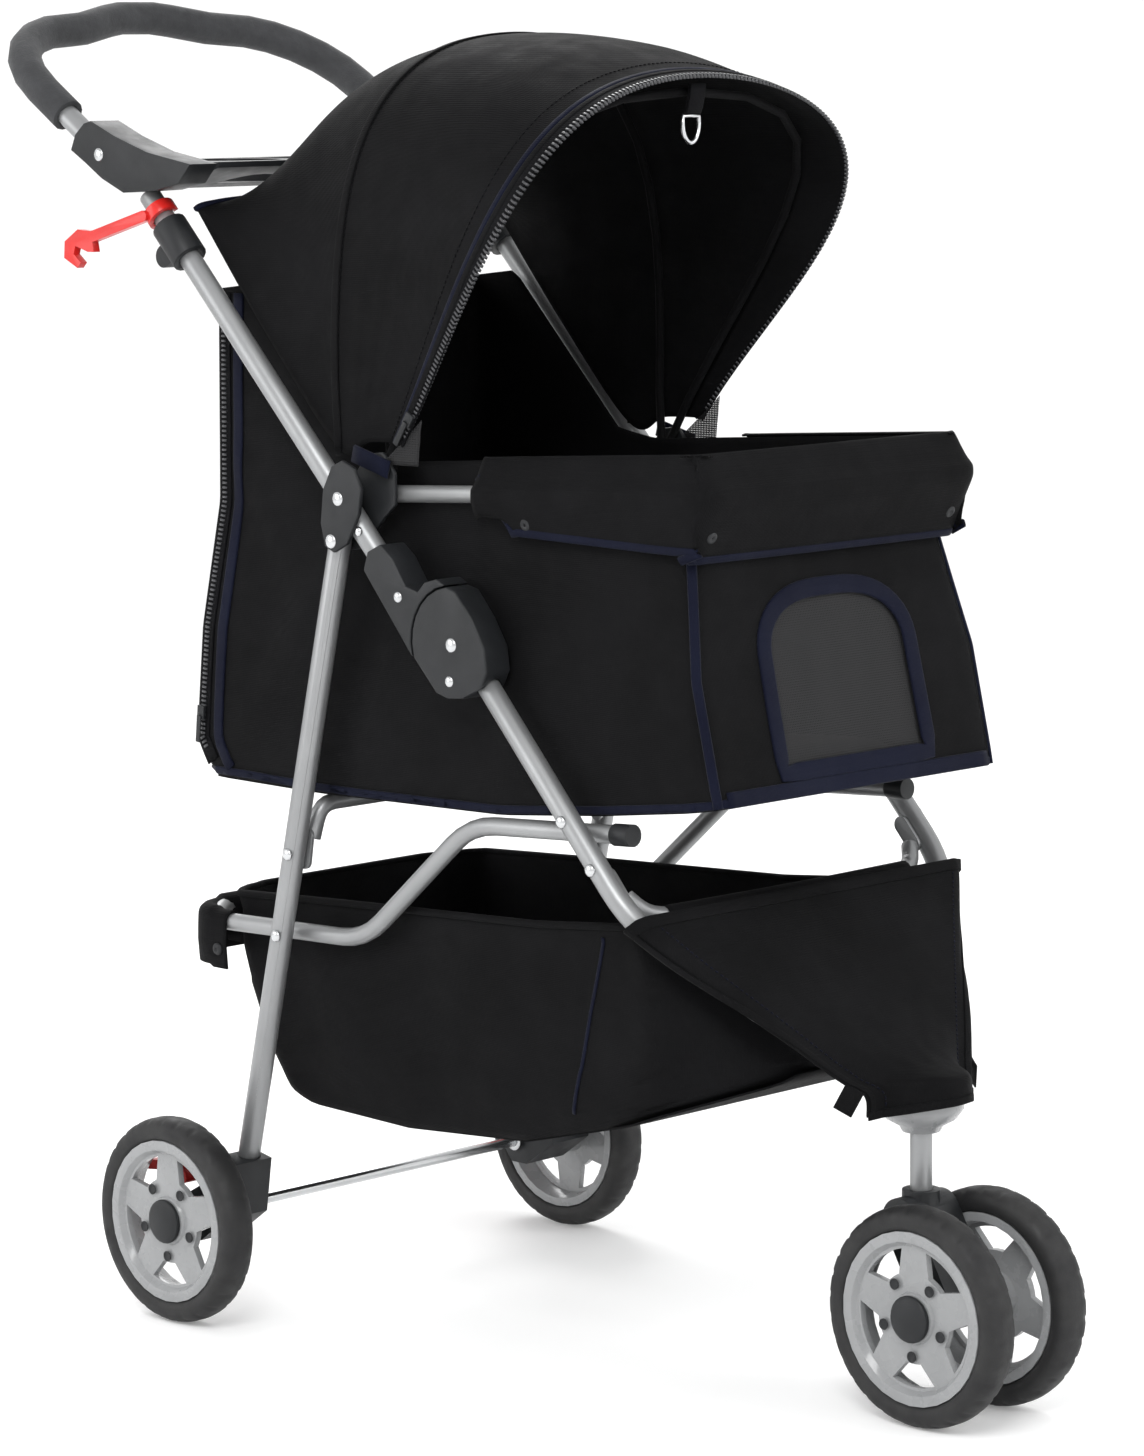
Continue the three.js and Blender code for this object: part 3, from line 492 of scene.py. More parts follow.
SLOTS = {entry["node"]: entry["material_slot"] for entry in frame["record"]["subparts"]}
SOFT_NODES = ("seat_pad", "cabin_shell", "basket_bag", "front_apron", "canopy_shell")
for node_name, node in frame["nodes"].items():
    node.data.materials.clear()
    node.data.materials.append(LOOKS[SLOTS[node_name]])
    if node_name not in SOFT_NODES:
        refine(node_name, node)


# ------------------------------------------------------------------ bags: the cabin and the basket
class Bag:
    """An open box of cloth. u goes once round it: rear, right side, front, left side. v goes up."""

    def __init__(self, rear, front, half_width, bottom, top, corner, folds):
        self.rear = rear
        self.front = front
        self.half_width = half_width
        self.bottom = bottom
        self.top = top
        self.corner = corner
        self.folds = folds

    def edge(self, share, length):
        """Along an edge with rounded ends: (distance along it, distance in from it)."""
        radius = min(self.corner, length * 0.45)
        along = share * length
        if along < radius:
            angle = math.radians(45) * (1 - along / radius)
            return radius * (1 - math.sin(angle)), radius * (1 - math.cos(angle))
        if along > length - radius:
            angle = math.radians(45) * (1 - (length - along) / radius)
            return length - radius * (1 - math.sin(angle)), radius * (1 - math.cos(angle))
        return along, 0.0

    def outline(self, u, x0, x1, width_at):
        turn = (u % 1.0) * 4
        side = int(turn)
        share = turn - side
        if side in (0, 2):
            end = x0 if side == 0 else x1
            half = width_at(end)
            along, inwards = self.edge(share, 2 * half)
            across = half - along if side == 0 else along - half
            return (end + inwards if side == 0 else end - inwards), across
        along, inwards = self.edge(share, x1 - x0)
        x = x0 + along if side == 1 else x1 - along
        half = width_at(x) - inwards
        return x, -half if side == 1 else half

    def flat_point(self, u, v):
        x, y, z = 200.0, 0.0, 0.0
        for _ in range(5):
            z = self.bottom(x) + v * (self.top(x) - self.bottom(x))
            height = z
            x, y = self.outline(u, self.rear(height), self.front(height),
                                lambda place_x: self.half_width(place_x, height))
        return Vector((x, y, z))

    def __call__(self, u, v):
        point = self.flat_point(u, v)
        turn = (u % 1.0) * 4
        away = min(turn % 1.0, 1 - turn % 1.0)
        fade = smooth(away, 0.0, 0.08) * smooth(v, 0.0, 0.12) * smooth(1 - v, 0.0, 0.1)
        out = (Vector((-1, 0, 0)), Vector((0, -1, 0)), Vector((0.98, 0, 0.2)), Vector((0, 1, 0)))[int(turn)]
        return point + out * fade * self.folds(point)


def pull(p, start, end, width, depth):
    """A long shallow fold along a line in the side view."""
    line = Vector((end[0] - start[0], end[1] - start[1]))
    offset = Vector((p.x - start[0], p.z - start[1]))
    share = offset.dot(line) / line.length_squared
    if not 0 < share < 1:
        return 0.0
    across = (offset - line * share).length / width
    return depth * math.exp(-across * across) * math.sin(math.pi * share)


CABIN_PULLS = (
    ((150, 610), (20, 420), 16, 3.0),
    ((190, 600), (120, 400), 14, -2.6),
    ((215, 590), (330, 420), 18, 2.6),
    ((300, 590), (250, 410), 13, -2.0),
    ((430, 580), (380, 420), 15, 2.2),
    ((-10, 640), (90, 520), 14, 2.4),
)


def cabin_folds(p):
    """Soft pulls that run down from the hinges, and shallow dents."""
    broad = noise.noise(Vector((p.x * 0.009 + p.z * 0.005, p.y * 0.010, p.z * 0.004)))
    fine = noise.noise(Vector((p.x * 0.03, p.y * 0.03, p.z * 0.014 + 7)))
    folds = sum(pull(p, *each) for each in CABIN_PULLS) if abs(p.y) > 120 else 0.0
    return 2.6 * broad + 0.8 * fine + folds


CABIN_BOTTOM = [(-5, 390.5), (93, 389.5), (281, 393.5), (377, 403), (460, 413.5), (486, 418)]
CABIN_TOP = [(-21, 742), (25, 747), (132, 634), (170, 628), (300, 636), (455, 645)]
CABIN_WIDTH = [(370, 139), (430, 141), (500, 141), (590, 131), (780, 129)]


def cabin_half_width(x, z):
    narrow = 0.055 * min(max((x - 170) / 285, 0), 1) * min(max((z - 500) / 88, 0), 1)
    return ramp(z, CABIN_WIDTH) * (1 - narrow) - 0.8


cabin = Bag(
    rear=lambda z: ramp(z, [(388, -18), (402, -32), (418, -41.5), (590, -21.5), (742, -20.5)]),
    front=lambda z: ramp(z, [(404, 478), (418, 485), (588, 445.5), (645, 454)]),
    half_width=cabin_half_width,
    bottom=lambda x: ramp(x, CABIN_BOTTOM) + 0.5,
    top=lambda x: ramp(x, CABIN_TOP),
    corner=11.0,
    folds=cabin_folds,
)
CABIN_CENTRE = (220, 0, 500)
CABIN_HEIGHT = 228.0
WINDOW_HALF = 72.0
WINDOW_BOTTOM = 432.0
WINDOW_SHOULDER = 512.0
WINDOW_TOP = 552.0


def arch_top(y):
    """Height of the window's arched top at a distance from its middle."""
    share = min(abs(y) / WINDOW_HALF, 1.0)
    return WINDOW_SHOULDER + (WINDOW_TOP - WINDOW_SHOULDER) * math.sqrt(max(1 - share ** 3, 0))


def in_window(p):
    return p.x > 420 and abs(p.y) < WINDOW_HALF and WINDOW_BOTTOM < p.z < arch_top(p.y)


def cloth_sheet(name, surface, columns, rows, thickness, closed=False, look="black_fabric", doomed=None):
    """A sheet of cloth with its thickness baked in."""
    sheet = grid(name, surface, columns, rows, look, None, closed)
    if doomed:
        work = bmesh.new()
        work.from_mesh(sheet.data)
        faces = [face for face in work.faces if doomed(in_mm(face.calc_center_median()))]
        bmesh.ops.delete(work, geom=faces, context="FACES")
        work.to_mesh(sheet.data)
        work.free()
    thicken(sheet, thickness)
    return bake(sheet)


def build_cabin():
    body = cloth_sheet("cabin_cloth", cabin, 224, 48, 1.8, closed=True, doomed=in_window)
    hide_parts("cabin_shell")
    settle(body, "carrier")
    floor = cloth_sheet("cabin_floor_cloth", cabin_floor_point, 40, 24, 1.6)
    settle(floor, "carrier")


def cabin_floor_point(u, v):
    x = -30 + 508 * u
    z = ramp(x, CABIN_BOTTOM) + 0.9
    half = cabin_half_width(x, z) - 1
    edge = min(u / 0.04, (1 - u) / 0.04, 1.0)
    half -= 12 * (1 - edge) ** 2
    return (x, half * (2 * v - 1), z - 0.6 * math.sin(math.pi * u) * math.sin(math.pi * v))


def track(u0, v0, u1, v1, steps=40):
    return [(u0 + (u1 - u0) * k / steps, v0 + (v1 - v0) * k / steps) for k in range(steps + 1)]


def cabin_seam(name, points, width, height, look="navy"):
    made = seam(name, cabin, points, width, height, look, None, CABIN_CENTRE, 0.3)
    settle(made, "carrier")


def front_panel_point(y, z):
    """The (u, v) place on the cabin's front wall at a given height and distance from the middle."""
    half = cabin_half_width(cabin.front(z), z)
    return 0.5 + 0.25 * (y / half + 1) / 2, (z - 416) / CABIN_HEIGHT


def window_track():
    rise = [WINDOW_BOTTOM + (WINDOW_SHOULDER - WINDOW_BOTTOM) * k / 8 for k in range(8)]
    arch = [front_panel_point(-WINDOW_HALF, z) for z in rise]
    for k in range(25):
        y = -WINDOW_HALF * math.cos(math.pi * k / 24)
        arch.append(front_panel_point(y, arch_top(y)))
    arch += [front_panel_point(WINDOW_HALF, z) for z in reversed(rise)]
    arch += [front_panel_point(WINDOW_HALF * (1 - 2 * k / 12), WINDOW_BOTTOM) for k in range(1, 12)]
    return arch


def window_point(u, v):
    y = (WINDOW_HALF + 3) * (2 * u - 1)
    low = WINDOW_BOTTOM - 3
    point = cabin(*front_panel_point(y, low + (arch_top(y) + 3 - low) * v))
    return (point.x - 1.4, y, point.z)


def build_cabin_trim():
    cabin_seam("cabin_binding_bottom_front", track(0.508, 0.02, 0.742, 0.02), 11, 1.6)
    for name, side in SIDES:
        corner = 0.5 if side < 0 else 0.75
        rear = 0.25 if side < 0 else 0.0
        gap = 0.009 * side
        cabin_seam("cabin_binding_front_" + name, track(corner, 0.0, corner, 0.76), 7, 2.0)
        cabin_seam("cabin_binding_side_" + name, track(rear - gap, 0.012, corner + gap, 0.012, 90), 6, 1.4)
        zip_u = rear - 0.0065 * side
        binding = rear - 0.0145 * side
        cabin_seam("cabin_binding_rear_" + name, track(binding, 0.02, binding, 0.985, 60), 10, 1.5)
        cabin_seam("cabin_zip_tape_" + name, track(zip_u, 0.03, zip_u, 0.99, 60), 13, 1.0, "lining")
        teeth = stitches("cabin_zip_teeth_" + name, cabin, track(zip_u, 0.06, zip_u, 0.97, 160), "zip_teeth",
                         None, CABIN_CENTRE, 1.0, 2.0, 3.4, 5.2, 1.5)
        settle(teeth, "carrier")
        slider = zip_slider("cabin_zip_slider_" + name, cabin, (zip_u, 0.13), (zip_u, 0.12), CABIN_CENTRE,
                            2.2)
        settle(slider, "carrier")
    binding = seam("window_binding", cabin, window_track(), 13, 1.6, "navy", None,
                   CABIN_CENTRE, 0.3, True)
    settle(binding, "carrier")
    net = cloth_sheet("window_net", window_point, 30, 30, 0.5, look="net")
    settle(net, "carrier")


def zip_slider(name, surface, at, towards, centre, lift):
    """A zip's slider with its pull hanging down."""
    point = Vector(surface(*at))
    normal = normal_of(surface, *at, point - Vector(centre))
    along = (Vector(surface(*towards)) - point).normalized()
    side = along.cross(normal).normalized()
    verts = []
    faces = []
    for start, end, half, low, high in ((-5, 5, 3.6, 0, 2.6), (2, 22, 2.2, 2.8, 4.0)):
        base = len(verts)
        for a in (start, end):
            for b in (-half, half):
                for c in (low, high):
                    verts.append(place(*(point + along * a + side * b + normal * (lift + c))))
        for quad in ((0, 1, 3, 2), (4, 6, 7, 5), (0, 4, 5, 1), (2, 3, 7, 6), (0, 2, 6, 4), (1, 5, 7, 3)):
            faces.append(tuple(base + q for q in quad))
    slider = piece(name, verts, faces, "black_plastic", None)
    bevel = slider.modifiers.new("edges", "BEVEL")
    bevel.width = 0.5 * MM
    bevel.segments = 2
    return bake(slider)


# ------------------------------------------------------------------ cloth over tubes
def over_tube(radius, inner_drop, outer_drop):
    """Stations (out, up) of cloth that goes up inside a tube, over it and down outside it."""
    angles = [math.radians(a) for a in range(0, 181, 20)]
    arch = [(-radius * math.cos(a), radius * math.sin(a)) for a in angles]
    outer_end = [(radius + 0.6, -0.5 * outer_drop), (radius - 0.6, -outer_drop)]
    return [(-radius - 0.2, -inner_drop)] + arch + outer_end


def along_line(stations, share):
    place_along = share * (len(stations) - 1)
    index = min(int(place_along), len(stations) - 2)
    part = place_along - index
    a, b = stations[index], stations[index + 1]
    return a[0] + (b[0] - a[0]) * part, a[1] + (b[1] - a[1]) * part


def rim_tube_at(x):
    return 137.2 - 6.5 * (x - 164) / 300, RIM_Z + 15 * (x - 164) / 300


FLAP_START = 259.0
FLAP_END = 466.0
FLAP_FRONT = 262.0


def flap_point(u, v):
    """The flap hangs from the rim, over the tube. u goes from the right rear edge round the front."""
    side_length = FLAP_END - FLAP_START
    total = 2 * side_length + FLAP_FRONT
    along = u * total
    lift = 7.6
    if along < side_length or along > side_length + FLAP_FRONT:
        side = -1 if along < side_length else 1
        x = FLAP_START + (along if side < 0 else total - along)
        tube_y, tube_z = rim_tube_at(x)
        wall = cabin_half_width(x, 635)
        if x > FLAP_START + 34:
            low = 588 - 4 * smooth(x, FLAP_START, 440)
        else:
            low = tube_z + 12 - (tube_z + 12 - 586) * (x - FLAP_START) / 34
        stations = [(wall - 1.5, cabin.top(x) + 0.5), (wall + 2.5, cabin.top(x) + 1.5),
                    (tube_y + 3, tube_z + 8.5),
                    (tube_y + lift, tube_z + 3), (tube_y + lift + 0.3, tube_z - 4), (tube_y + 4, tube_z - 16),
                    (tube_y + 1.5, low)]
        y, z = along_line(stations, v)
        wave = 0.9 * math.sin(x * 0.045) * smooth(v, 0.5, 1.0)
        return Vector((x, side * (y + wave - 2.5 * smooth(x, FLAP_END - 12, FLAP_END)), z))
    share = (along - side_length) / FLAP_FRONT
    y = -1 + 2 * share
    tube_y, tube_z = rim_tube_at(464)
    front = cabin.front(640)
    stations = [(front - 0.5, 645.5), (front + 2.5, 646.5), (466, tube_z + 8.5), (465 + lift, tube_z + 3),
                (465 + lift, tube_z - 4), (464, tube_z - 18), (452.5, 578)]
    x, z = along_line(stations, v)
    bow = 1.5 * math.sin(math.pi * share)
    return Vector((x + bow - 5 * smooth(abs(y), 0.92, 1.0), y * (tube_y + 5.0), z))


def snap(name, surface, u, v, centre, body):
    """A round snap fastener on a surface."""
    point = Vector(surface(u, v))
    out = normal_of(surface, u, v, point - Vector(centre))
    profile = [(0, 0), (4.6, 0), (4.6, 0.8), (3.8, 1.8), (1.6, 2.0), (1.2, 1.4), (0, 1.3)]
    return lathe(name, profile, point, out, "black_plastic", body, 22)


def build_flap():
    centre = (300, 0, 600)
    flap = grid("rim_flap", flap_point, 150, 24, "black_fabric", None)
    relax(flap, 3)
    thicken(flap, 1.4)
    bake(flap)
    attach(flap, "cabin_rim")
    seam("rim_flap_binding", flap_point, track(0.0, 1.0, 1.0, 1.0, 140), 6.5, 1.8, "navy", "cabin_rim",
         centre, 0.2)
    for index, u in enumerate((0.07, 0.33, 0.67, 0.93)):
        snap(f"snap_{index}", flap_point, u, 0.9, centre, "cabin_rim")


def relax(obj, times):
    """Evens out a mesh, with its open edges kept."""
    work = bmesh.new()
    work.from_mesh(obj.data)
    inner = [v for v in work.verts if not v.is_boundary]
    axes = {"use_axis_x": True, "use_axis_y": True, "use_axis_z": True}
    for _ in range(times):
        bmesh.ops.smooth_vert(work, verts=inner, factor=0.5, **axes)
    work.to_mesh(obj.data)
    work.free()


# ------------------------------------------------------------------ canopy
# Each rib: its foot and its top as (x, z), width at the foot, shoulder height, side and crown widths, lean.
RIBS = (
    ((-19, 800), (-10, 808), 146, 0.5, 147, 100, 0),
    ((55, 712), (66, 896), 146, 0.5, 148, 126, 0),
    ((128, 636), (158, 922), 146, 0.5, 158, 166, 11),
    ((162, 642), (255, 918), 148, 0.45, 155, 205, -10),
    ((196, 643), (342, 892), 149.4, 0.4, 150, 247, -28),
)
CANOPY_CENTRE = (140, 0, 690)
MIDDLE_RIB = 0.5
ZIP_V = 0.985
CANOPY_DEPTH = 0.6  # how far the cloth lies inside its ribs


def through(values, share):
    """A smooth curve through evenly spaced values."""
    spot = share * (len(values) - 1)
    index = min(int(spot), len(values) - 2)
    t = spot - index
    p = [values[min(max(index + k, 0), len(values) - 1)] for k in (-1, 0, 1, 2)]
    a = 0.5 * (p[2] - p[0])
    b = 0.5 * (p[3] - p[1])
    return p[1] + t * (a + t * ((-3 * p[1] + 3 * p[2] - 2 * a - b) + t * (2 * p[1] - 2 * p[2] + a + b)))


def cubic(points, t):
    s = 1 - t
    return s ** 3 * points[0] + 3 * s * s * t * points[1] + 3 * s * t * t * points[2] + t ** 3 * points[3]


def canopy_base(u, v):
    """The canopy without folds: u from the right foot over the top, v from the rear edge to the front."""
    foot_x, foot_z = (through([rib[0][k] for rib in RIBS], v) for k in (0, 1))
    top_x, top_z = (through([rib[1][k] for rib in RIBS], v) for k in (0, 1))
    foot_width, shoulder, side, crown, lean = (through([rib[k] for rib in RIBS], v) for k in (2, 3, 4, 5, 6))
    across = 2 * u - 1
    t = 1 - abs(across)
    run, rise = top_x - foot_x, top_z - foot_z
    length = math.hypot(run, rise)
    climb = cubic((0, shoulder, 1, 1), t) * (1 - CANOPY_DEPTH / length)
    wide = cubic((foot_width - CANOPY_DEPTH, side - CANOPY_DEPTH, crown - CANOPY_DEPTH, 0), t)
    forward = lean * (1 - (wide / 150) ** 2 - climb) / length
    return Vector((foot_x + run * climb + rise * forward, math.copysign(wide, across),
                   foot_z + rise * climb - run * forward))


def canopy_point(u, v):
    point = canopy_base(u, v)
    across = 2 * u - 1
    t = 1 - abs(across)
    out = (point - Vector((150, 0, 700))).normalized()
    panel = math.sin(math.pi * (v / 0.5 if v < 0.5 else (v - 0.5) / 0.5))
    dip = -2.6 * panel * smooth(t, 0.0, 0.5)
    ripple = 1.5 * noise.noise(Vector((point.x * 0.011, point.y * 0.010, point.z * 0.011)))
    radial = 1.3 * noise.noise(Vector((v * 13, across * 1.2, 3))) * (1 - smooth(t, 0.1, 0.75))
    edges = smooth(v, 0, 0.06) * smooth(1 - v, 0, 0.08) * smooth(t, 0.0, 0.12)
    return point + out * (dip * smooth(1 - v, 0, 0.05) + (ripple + radial) * edges)


def canopy_ride(obj):
    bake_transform(obj)


def canopy_seam(name, v, width, height, look):
    canopy_ride(seam(name, canopy_point, track(0, v, 1, v, 120), width, height, look, None,
                     CANOPY_CENTRE, 0.2))


def build_canopy():
    cloth = cloth_sheet("canopy_cloth", canopy_point, 132, 92, 1.3)
    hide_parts("canopy_shell")
    canopy_ride(cloth)
    canopy_seam("canopy_rear_piping", 0.004, 5, 2.4, "navy")
    canopy_seam("canopy_middle_seam", MIDDLE_RIB, 8, 1.3, "black_fabric")
    canopy_seam("canopy_front_navy", 0.945, 5, 1.5, "navy")
    canopy_seam("canopy_front_fold", 0.962, 6, 1.6, "black_fabric")
    canopy_seam("canopy_zip_tape", ZIP_V, 9, 0.9, "lining")
    canopy_ride(stitches("canopy_zip_teeth", canopy_point, track(0.01, 1.0, 0.99, 1.0, 240), "zip_teeth",
                         None, CANOPY_CENTRE, -1.0, 2.0, 3.6, 6.0, 2.4))
    canopy_ride(zip_slider("canopy_zip_slider", canopy_point, (0.03, ZIP_V), (0.02, ZIP_V), CANOPY_CENTRE,
                           1.4))
    for name, v in (("rear", MIDDLE_RIB - 0.014), ("front", MIDDLE_RIB + 0.014), ("edge", 0.9)):
        canopy_ride(stitches("canopy_stitches_" + name, canopy_point, track(0, v, 1, v, 160), "lining", None,
                             CANOPY_CENTRE, 0.1))


def build_foot_trim():
    """At each hinge: a navy tab on the canopy's foot and a small net gusset in front of it."""
    for name, side in SIDES:
        y = 151.0 * side
        tab = [Vector((150 + 9 * k, y, 634 - 2.4 * k)) for k in range(5)]
        canopy_ride(sweep("canopy_tab_" + name, tab, band_section(13, 1.6), "navy", None,
                          [Vector((0, side, 0))] * len(tab)))
        corners = ((176, 628), (204, 650), (216, 660), (212, 628))
        net = cloth_sheet("canopy_gusset_" + name, lambda u, v: gusset_point(corners, side * 148.5, u, v),
                          8, 8, 0.5, look="net_side")
        canopy_ride(net)


def gusset_point(corners, y, u, v):
    a, b, c, d = (Vector((x, y, z)) for x, z in corners)
    return a.lerp(d, u).lerp(b.lerp(c, u), v)


def build_strap():
    """A short safety strap inside the canopy's front edge, with its D-shaped ring."""
    strap = [Vector((336, 0, 886)), Vector((335, 0, 878)), Vector((333, 0, 870)), Vector((331, 0, 866))]
    for name, shift in (("front", 1.0), ("rear", -1.0)):
        points = [p + Vector((shift, 0, 0)) for p in strap]
        canopy_ride(sweep("safety_strap_" + name, points, band_section(15, 0.9), "lining", None,
                          [Vector((1, 0, 0.2))] * len(points)))
    ring = [Vector((330, 8 * math.cos(math.radians(a)), 859 - 13 * math.sin(math.radians(a))))
            for a in range(0, 181, 12)]
    ring = [Vector((330, 8, 864))] + ring + [Vector((330, -8, 864)), Vector((330, 0, 864.5))]
    canopy_ride(sweep("safety_ring", ring, round_section(1.5, 10), "bright_steel", None,
                      closed=True))


# ------------------------------------------------------------------ basket
BASKET_TOP = [(-34, 302), (100, 309), (300, 318), (402, 328), (440, 300), (482, 236)]
BASKET_BOTTOM = [(-34, 172), (2, 164), (40, 150), (140, 147), (265, 157), (372, 185), (466, 220), (482, 232)]
BASKET_CENTRE = (200, 0, 230)


def basket_half_width(x, z):
    wide = ramp(z, [(140, 97), (165, 107), (190, 115), (260, 123), (345, 126)])
    if x > 402:
        wide *= 1 - 0.58 * (x - 402) / 80
    if x < -12:
        wide *= 1 - 0.22 * (-12 - x) / 25
    return wide


def basket_folds(p):
    broad = noise.noise(Vector((p.x * 0.010, p.y * 0.01, p.z * 0.006 + 3)))
    fine = noise.noise(Vector((p.x * 0.026, p.y * 0.02, p.z * 0.010)))
    return 3.6 * broad + 1.3 * fine - 1.2


basket = Bag(
    rear=lambda z: ramp(z, [(147, 8), (164, 2.5), (240, -21), (302, -33)]),
    front=lambda z: ramp(z, [(147, 330), (185, 372), (220, 464), (234, 480), (316, 408), (330, 402)]),
    half_width=basket_half_width,
    bottom=lambda x: ramp(x, BASKET_BOTTOM) + 1,
    top=lambda x: ramp(x, BASKET_TOP),
    corner=26.0,
    folds=basket_folds,
)


def basket_seam_track(side):
    """A straight upright seam near the front of the basket's side."""
    places = []
    for k in range(31):
        z = 188 + 128 * k / 30
        x = 357 + 0.289 * (z - 300)
        share = (x - basket.rear(z)) / (basket.front(z) - basket.rear(z))
        v = (z - basket.bottom(x)) / (basket.top(x) - basket.bottom(x))
        places.append((0.25 + 0.25 * share if side < 0 else 1 - 0.25 * share, v))
    return places


def basket_ride(obj):
    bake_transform(obj)


def basket_floor_point(u, v):
    x = 6 + 470 * u
    z = ramp(x, BASKET_BOTTOM) + 1.2
    half = basket_half_width(x, z) * 0.98 * (0.80 + 0.20 * min(u / 0.05, 1))
    return (x, half * (2 * v - 1), z - 0.8 * math.sin(math.pi * min(u * 1.3, 1)) * math.sin(math.pi * v))


def rear_tube_path(u):
    """The basket tube's rear, from the right side to the left: a place on it and the way out of it."""
    corner = 24.0
    side_length, arc, cross = 18.0, 36.0, 2 * (138 - corner)
    along = u * (2 * side_length + 2 * arc + cross)
    mirror = -1
    if along > side_length + arc + cross / 2:
        along = 2 * side_length + 2 * arc + cross - along
        mirror = 1
    if along < side_length:
        return Vector((-1 - along, mirror * 138, 284.5)), Vector((0, mirror, 0))
    if along < side_length + arc:
        angle = math.radians(90) * (along - side_length) / arc
        out = Vector((-math.sin(angle), mirror * math.cos(angle), 0))
        return Vector((-19, mirror * (138 - corner), 286.5)) + out * corner, out
    return Vector((-43, mirror * (138 - corner - (along - side_length - arc)), 289)), Vector((-1, 0, 0))


REAR_SLEEVE = over_tube(8.4, 16, 34)


def rear_sleeve_point(u, v):
    centre, out = rear_tube_path(u)
    away, up = along_line(REAR_SLEEVE, v)
    ripple = 0.7 * noise.noise(centre * 0.04) * smooth(v, 0.6, 1)
    return centre + out * (away + ripple) + Vector((0, 0, up))


FRONT_SLEEVE = [(-3, -19), (-7.4, -8)] + over_tube(7.4, 0, 0)[1:-2] + [(7.6, -9), (3, -18)]


def front_sleeve_point(u, v):
    """Cloth round the front cross bar, down to the basket's edge."""
    away, up = along_line(FRONT_SLEEVE, v)
    y = -121 + 242 * u
    return Vector((417 + away, y, 337 + up - 0.8 * math.sin(math.pi * u)))


def build_basket():
    wall = cloth_sheet("basket_cloth", basket, 176, 30, 1.6, closed=True)
    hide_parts("basket_bag")
    floor = cloth_sheet("basket_floor_cloth", basket_floor_point, 60, 26, 1.5)
    rim = sweep("basket_rim_hem", [basket(k / 160, 1.0) for k in range(160)], round_section(2.6, 10),
                "black_fabric", None, closed=True)
    strips = [seam("basket_seam_" + name, basket, basket_seam_track(side), 3.0, 0.9, "navy", None,
                   BASKET_CENTRE, 0.2)
              for name, side in SIDES]
    for part in (wall, floor, rim, *strips):
        basket_ride(part)
    sleeve = cloth_sheet("basket_rear_sleeve", rear_sleeve_point, 90, 26, 1.3)
    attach(sleeve, "carrier")
    for index, u in enumerate((0.025, 0.975)):
        snap(f"basket_snap_{index}", rear_sleeve_point, u, 0.93, (60, 0, 285), "carrier")
    front = cloth_sheet("basket_front_sleeve", front_sleeve_point, 50, 28, 1.3)
    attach(front, "front_legs")


# ------------------------------------------------------------------ apron
APRON_SIDE = ((432, 341), (464, 302), (496, 264), (524, 231), (535, 221), (536, 206))
APRON_MIDDLE = ((432, 341), (466, 302), (502, 262), (538, 236), (570, 230), (573, 214))
APRON_CENTRE = (420, 0, 200)


def apron_point(u, v):
    """The cloth over the front legs: u from the right edge to the left, v from the top to the lower edge."""
    across = 2 * u - 1
    side_x, side_z = (through([p[k] for p in APRON_SIDE], v) for k in (0, 1))
    middle_x, middle_z = (through([p[k] for p in APRON_MIDDLE], v) for k in (0, 1))
    inner = min(abs(across) / 0.9, 1.0)
    outer = max(abs(across) - 0.9, 0.0) * 10
    bulge = 1 - inner ** 2.2
    ripple = noise.noise(Vector((u * 4, v * 6, 1.5))) + 0.5 * noise.noise(Vector((u * 11, v * 12, 4)))
    lift = 2.0 + 0.9 * ripple * smooth(v, 0, 0.1)
    leg_y = 157 - 119 * (side_x - 432) / 104
    turn = math.radians(140) * outer
    wrapped = 1 - smooth(v, 0.05, 0.5)
    reach = 15 * outer + (9.6 * math.sin(turn) - 15 * outer) * wrapped
    lift -= 9.6 * (1 - math.cos(turn)) * wrapped
    x = side_x + (middle_x - side_x) * bulge + 0.77 * lift
    z = side_z + (middle_z - side_z) * bulge + 0.64 * lift
    return Vector((x, math.copysign(leg_y * inner + reach, across), z))


def build_apron():
    sheet = cloth_sheet("apron_cloth", apron_point, 72, 60, 1.4)
    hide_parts("front_apron")
    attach(sheet, "front_legs")
    seams = (
        ("apron_top_hem", track(0.0, 0.02, 1.0, 0.02, 60), 9, 1.0),
        ("apron_low_hem", track(0.0, 0.985, 1.0, 0.985, 60), 6, 1.0),
        ("apron_side_hem_right", track(0.015, 0.0, 0.015, 1.0, 60), 5, 0.9),
        ("apron_side_hem_left", track(0.985, 0.0, 0.985, 1.0, 60), 5, 0.9),
    )
    for name, line, width, height in seams:
        seam(name, apron_point, line, width, height, "black_fabric", "front_legs",
             APRON_CENTRE, 0.2)
    for name, u in (("right", 0.06), ("left", 0.94)):
        stitches("apron_stitches_" + name, apron_point, track(u, 0.02, u, 0.98, 60), "navy", "front_legs",
                 APRON_CENTRE, 0.1)
        side = -1 if u < 0.5 else 1
        edge = Vector(apron_point(0.0 if side < 0 else 1.0, 0.68))
        tab = [edge + Vector((-1.5 * k, side * 1.5 * k, -4 * k)) for k in range(5)]
        sweep("apron_tab_" + name, tab, band_section(14, 1.4), "black_fabric", "front_legs",
              [Vector((0.5, side * 0.8, 0.2))] * len(tab))


# ------------------------------------------------------------------ seat pad
def board_line(x):
    return 390.5 + 0.053 * (x + 5)


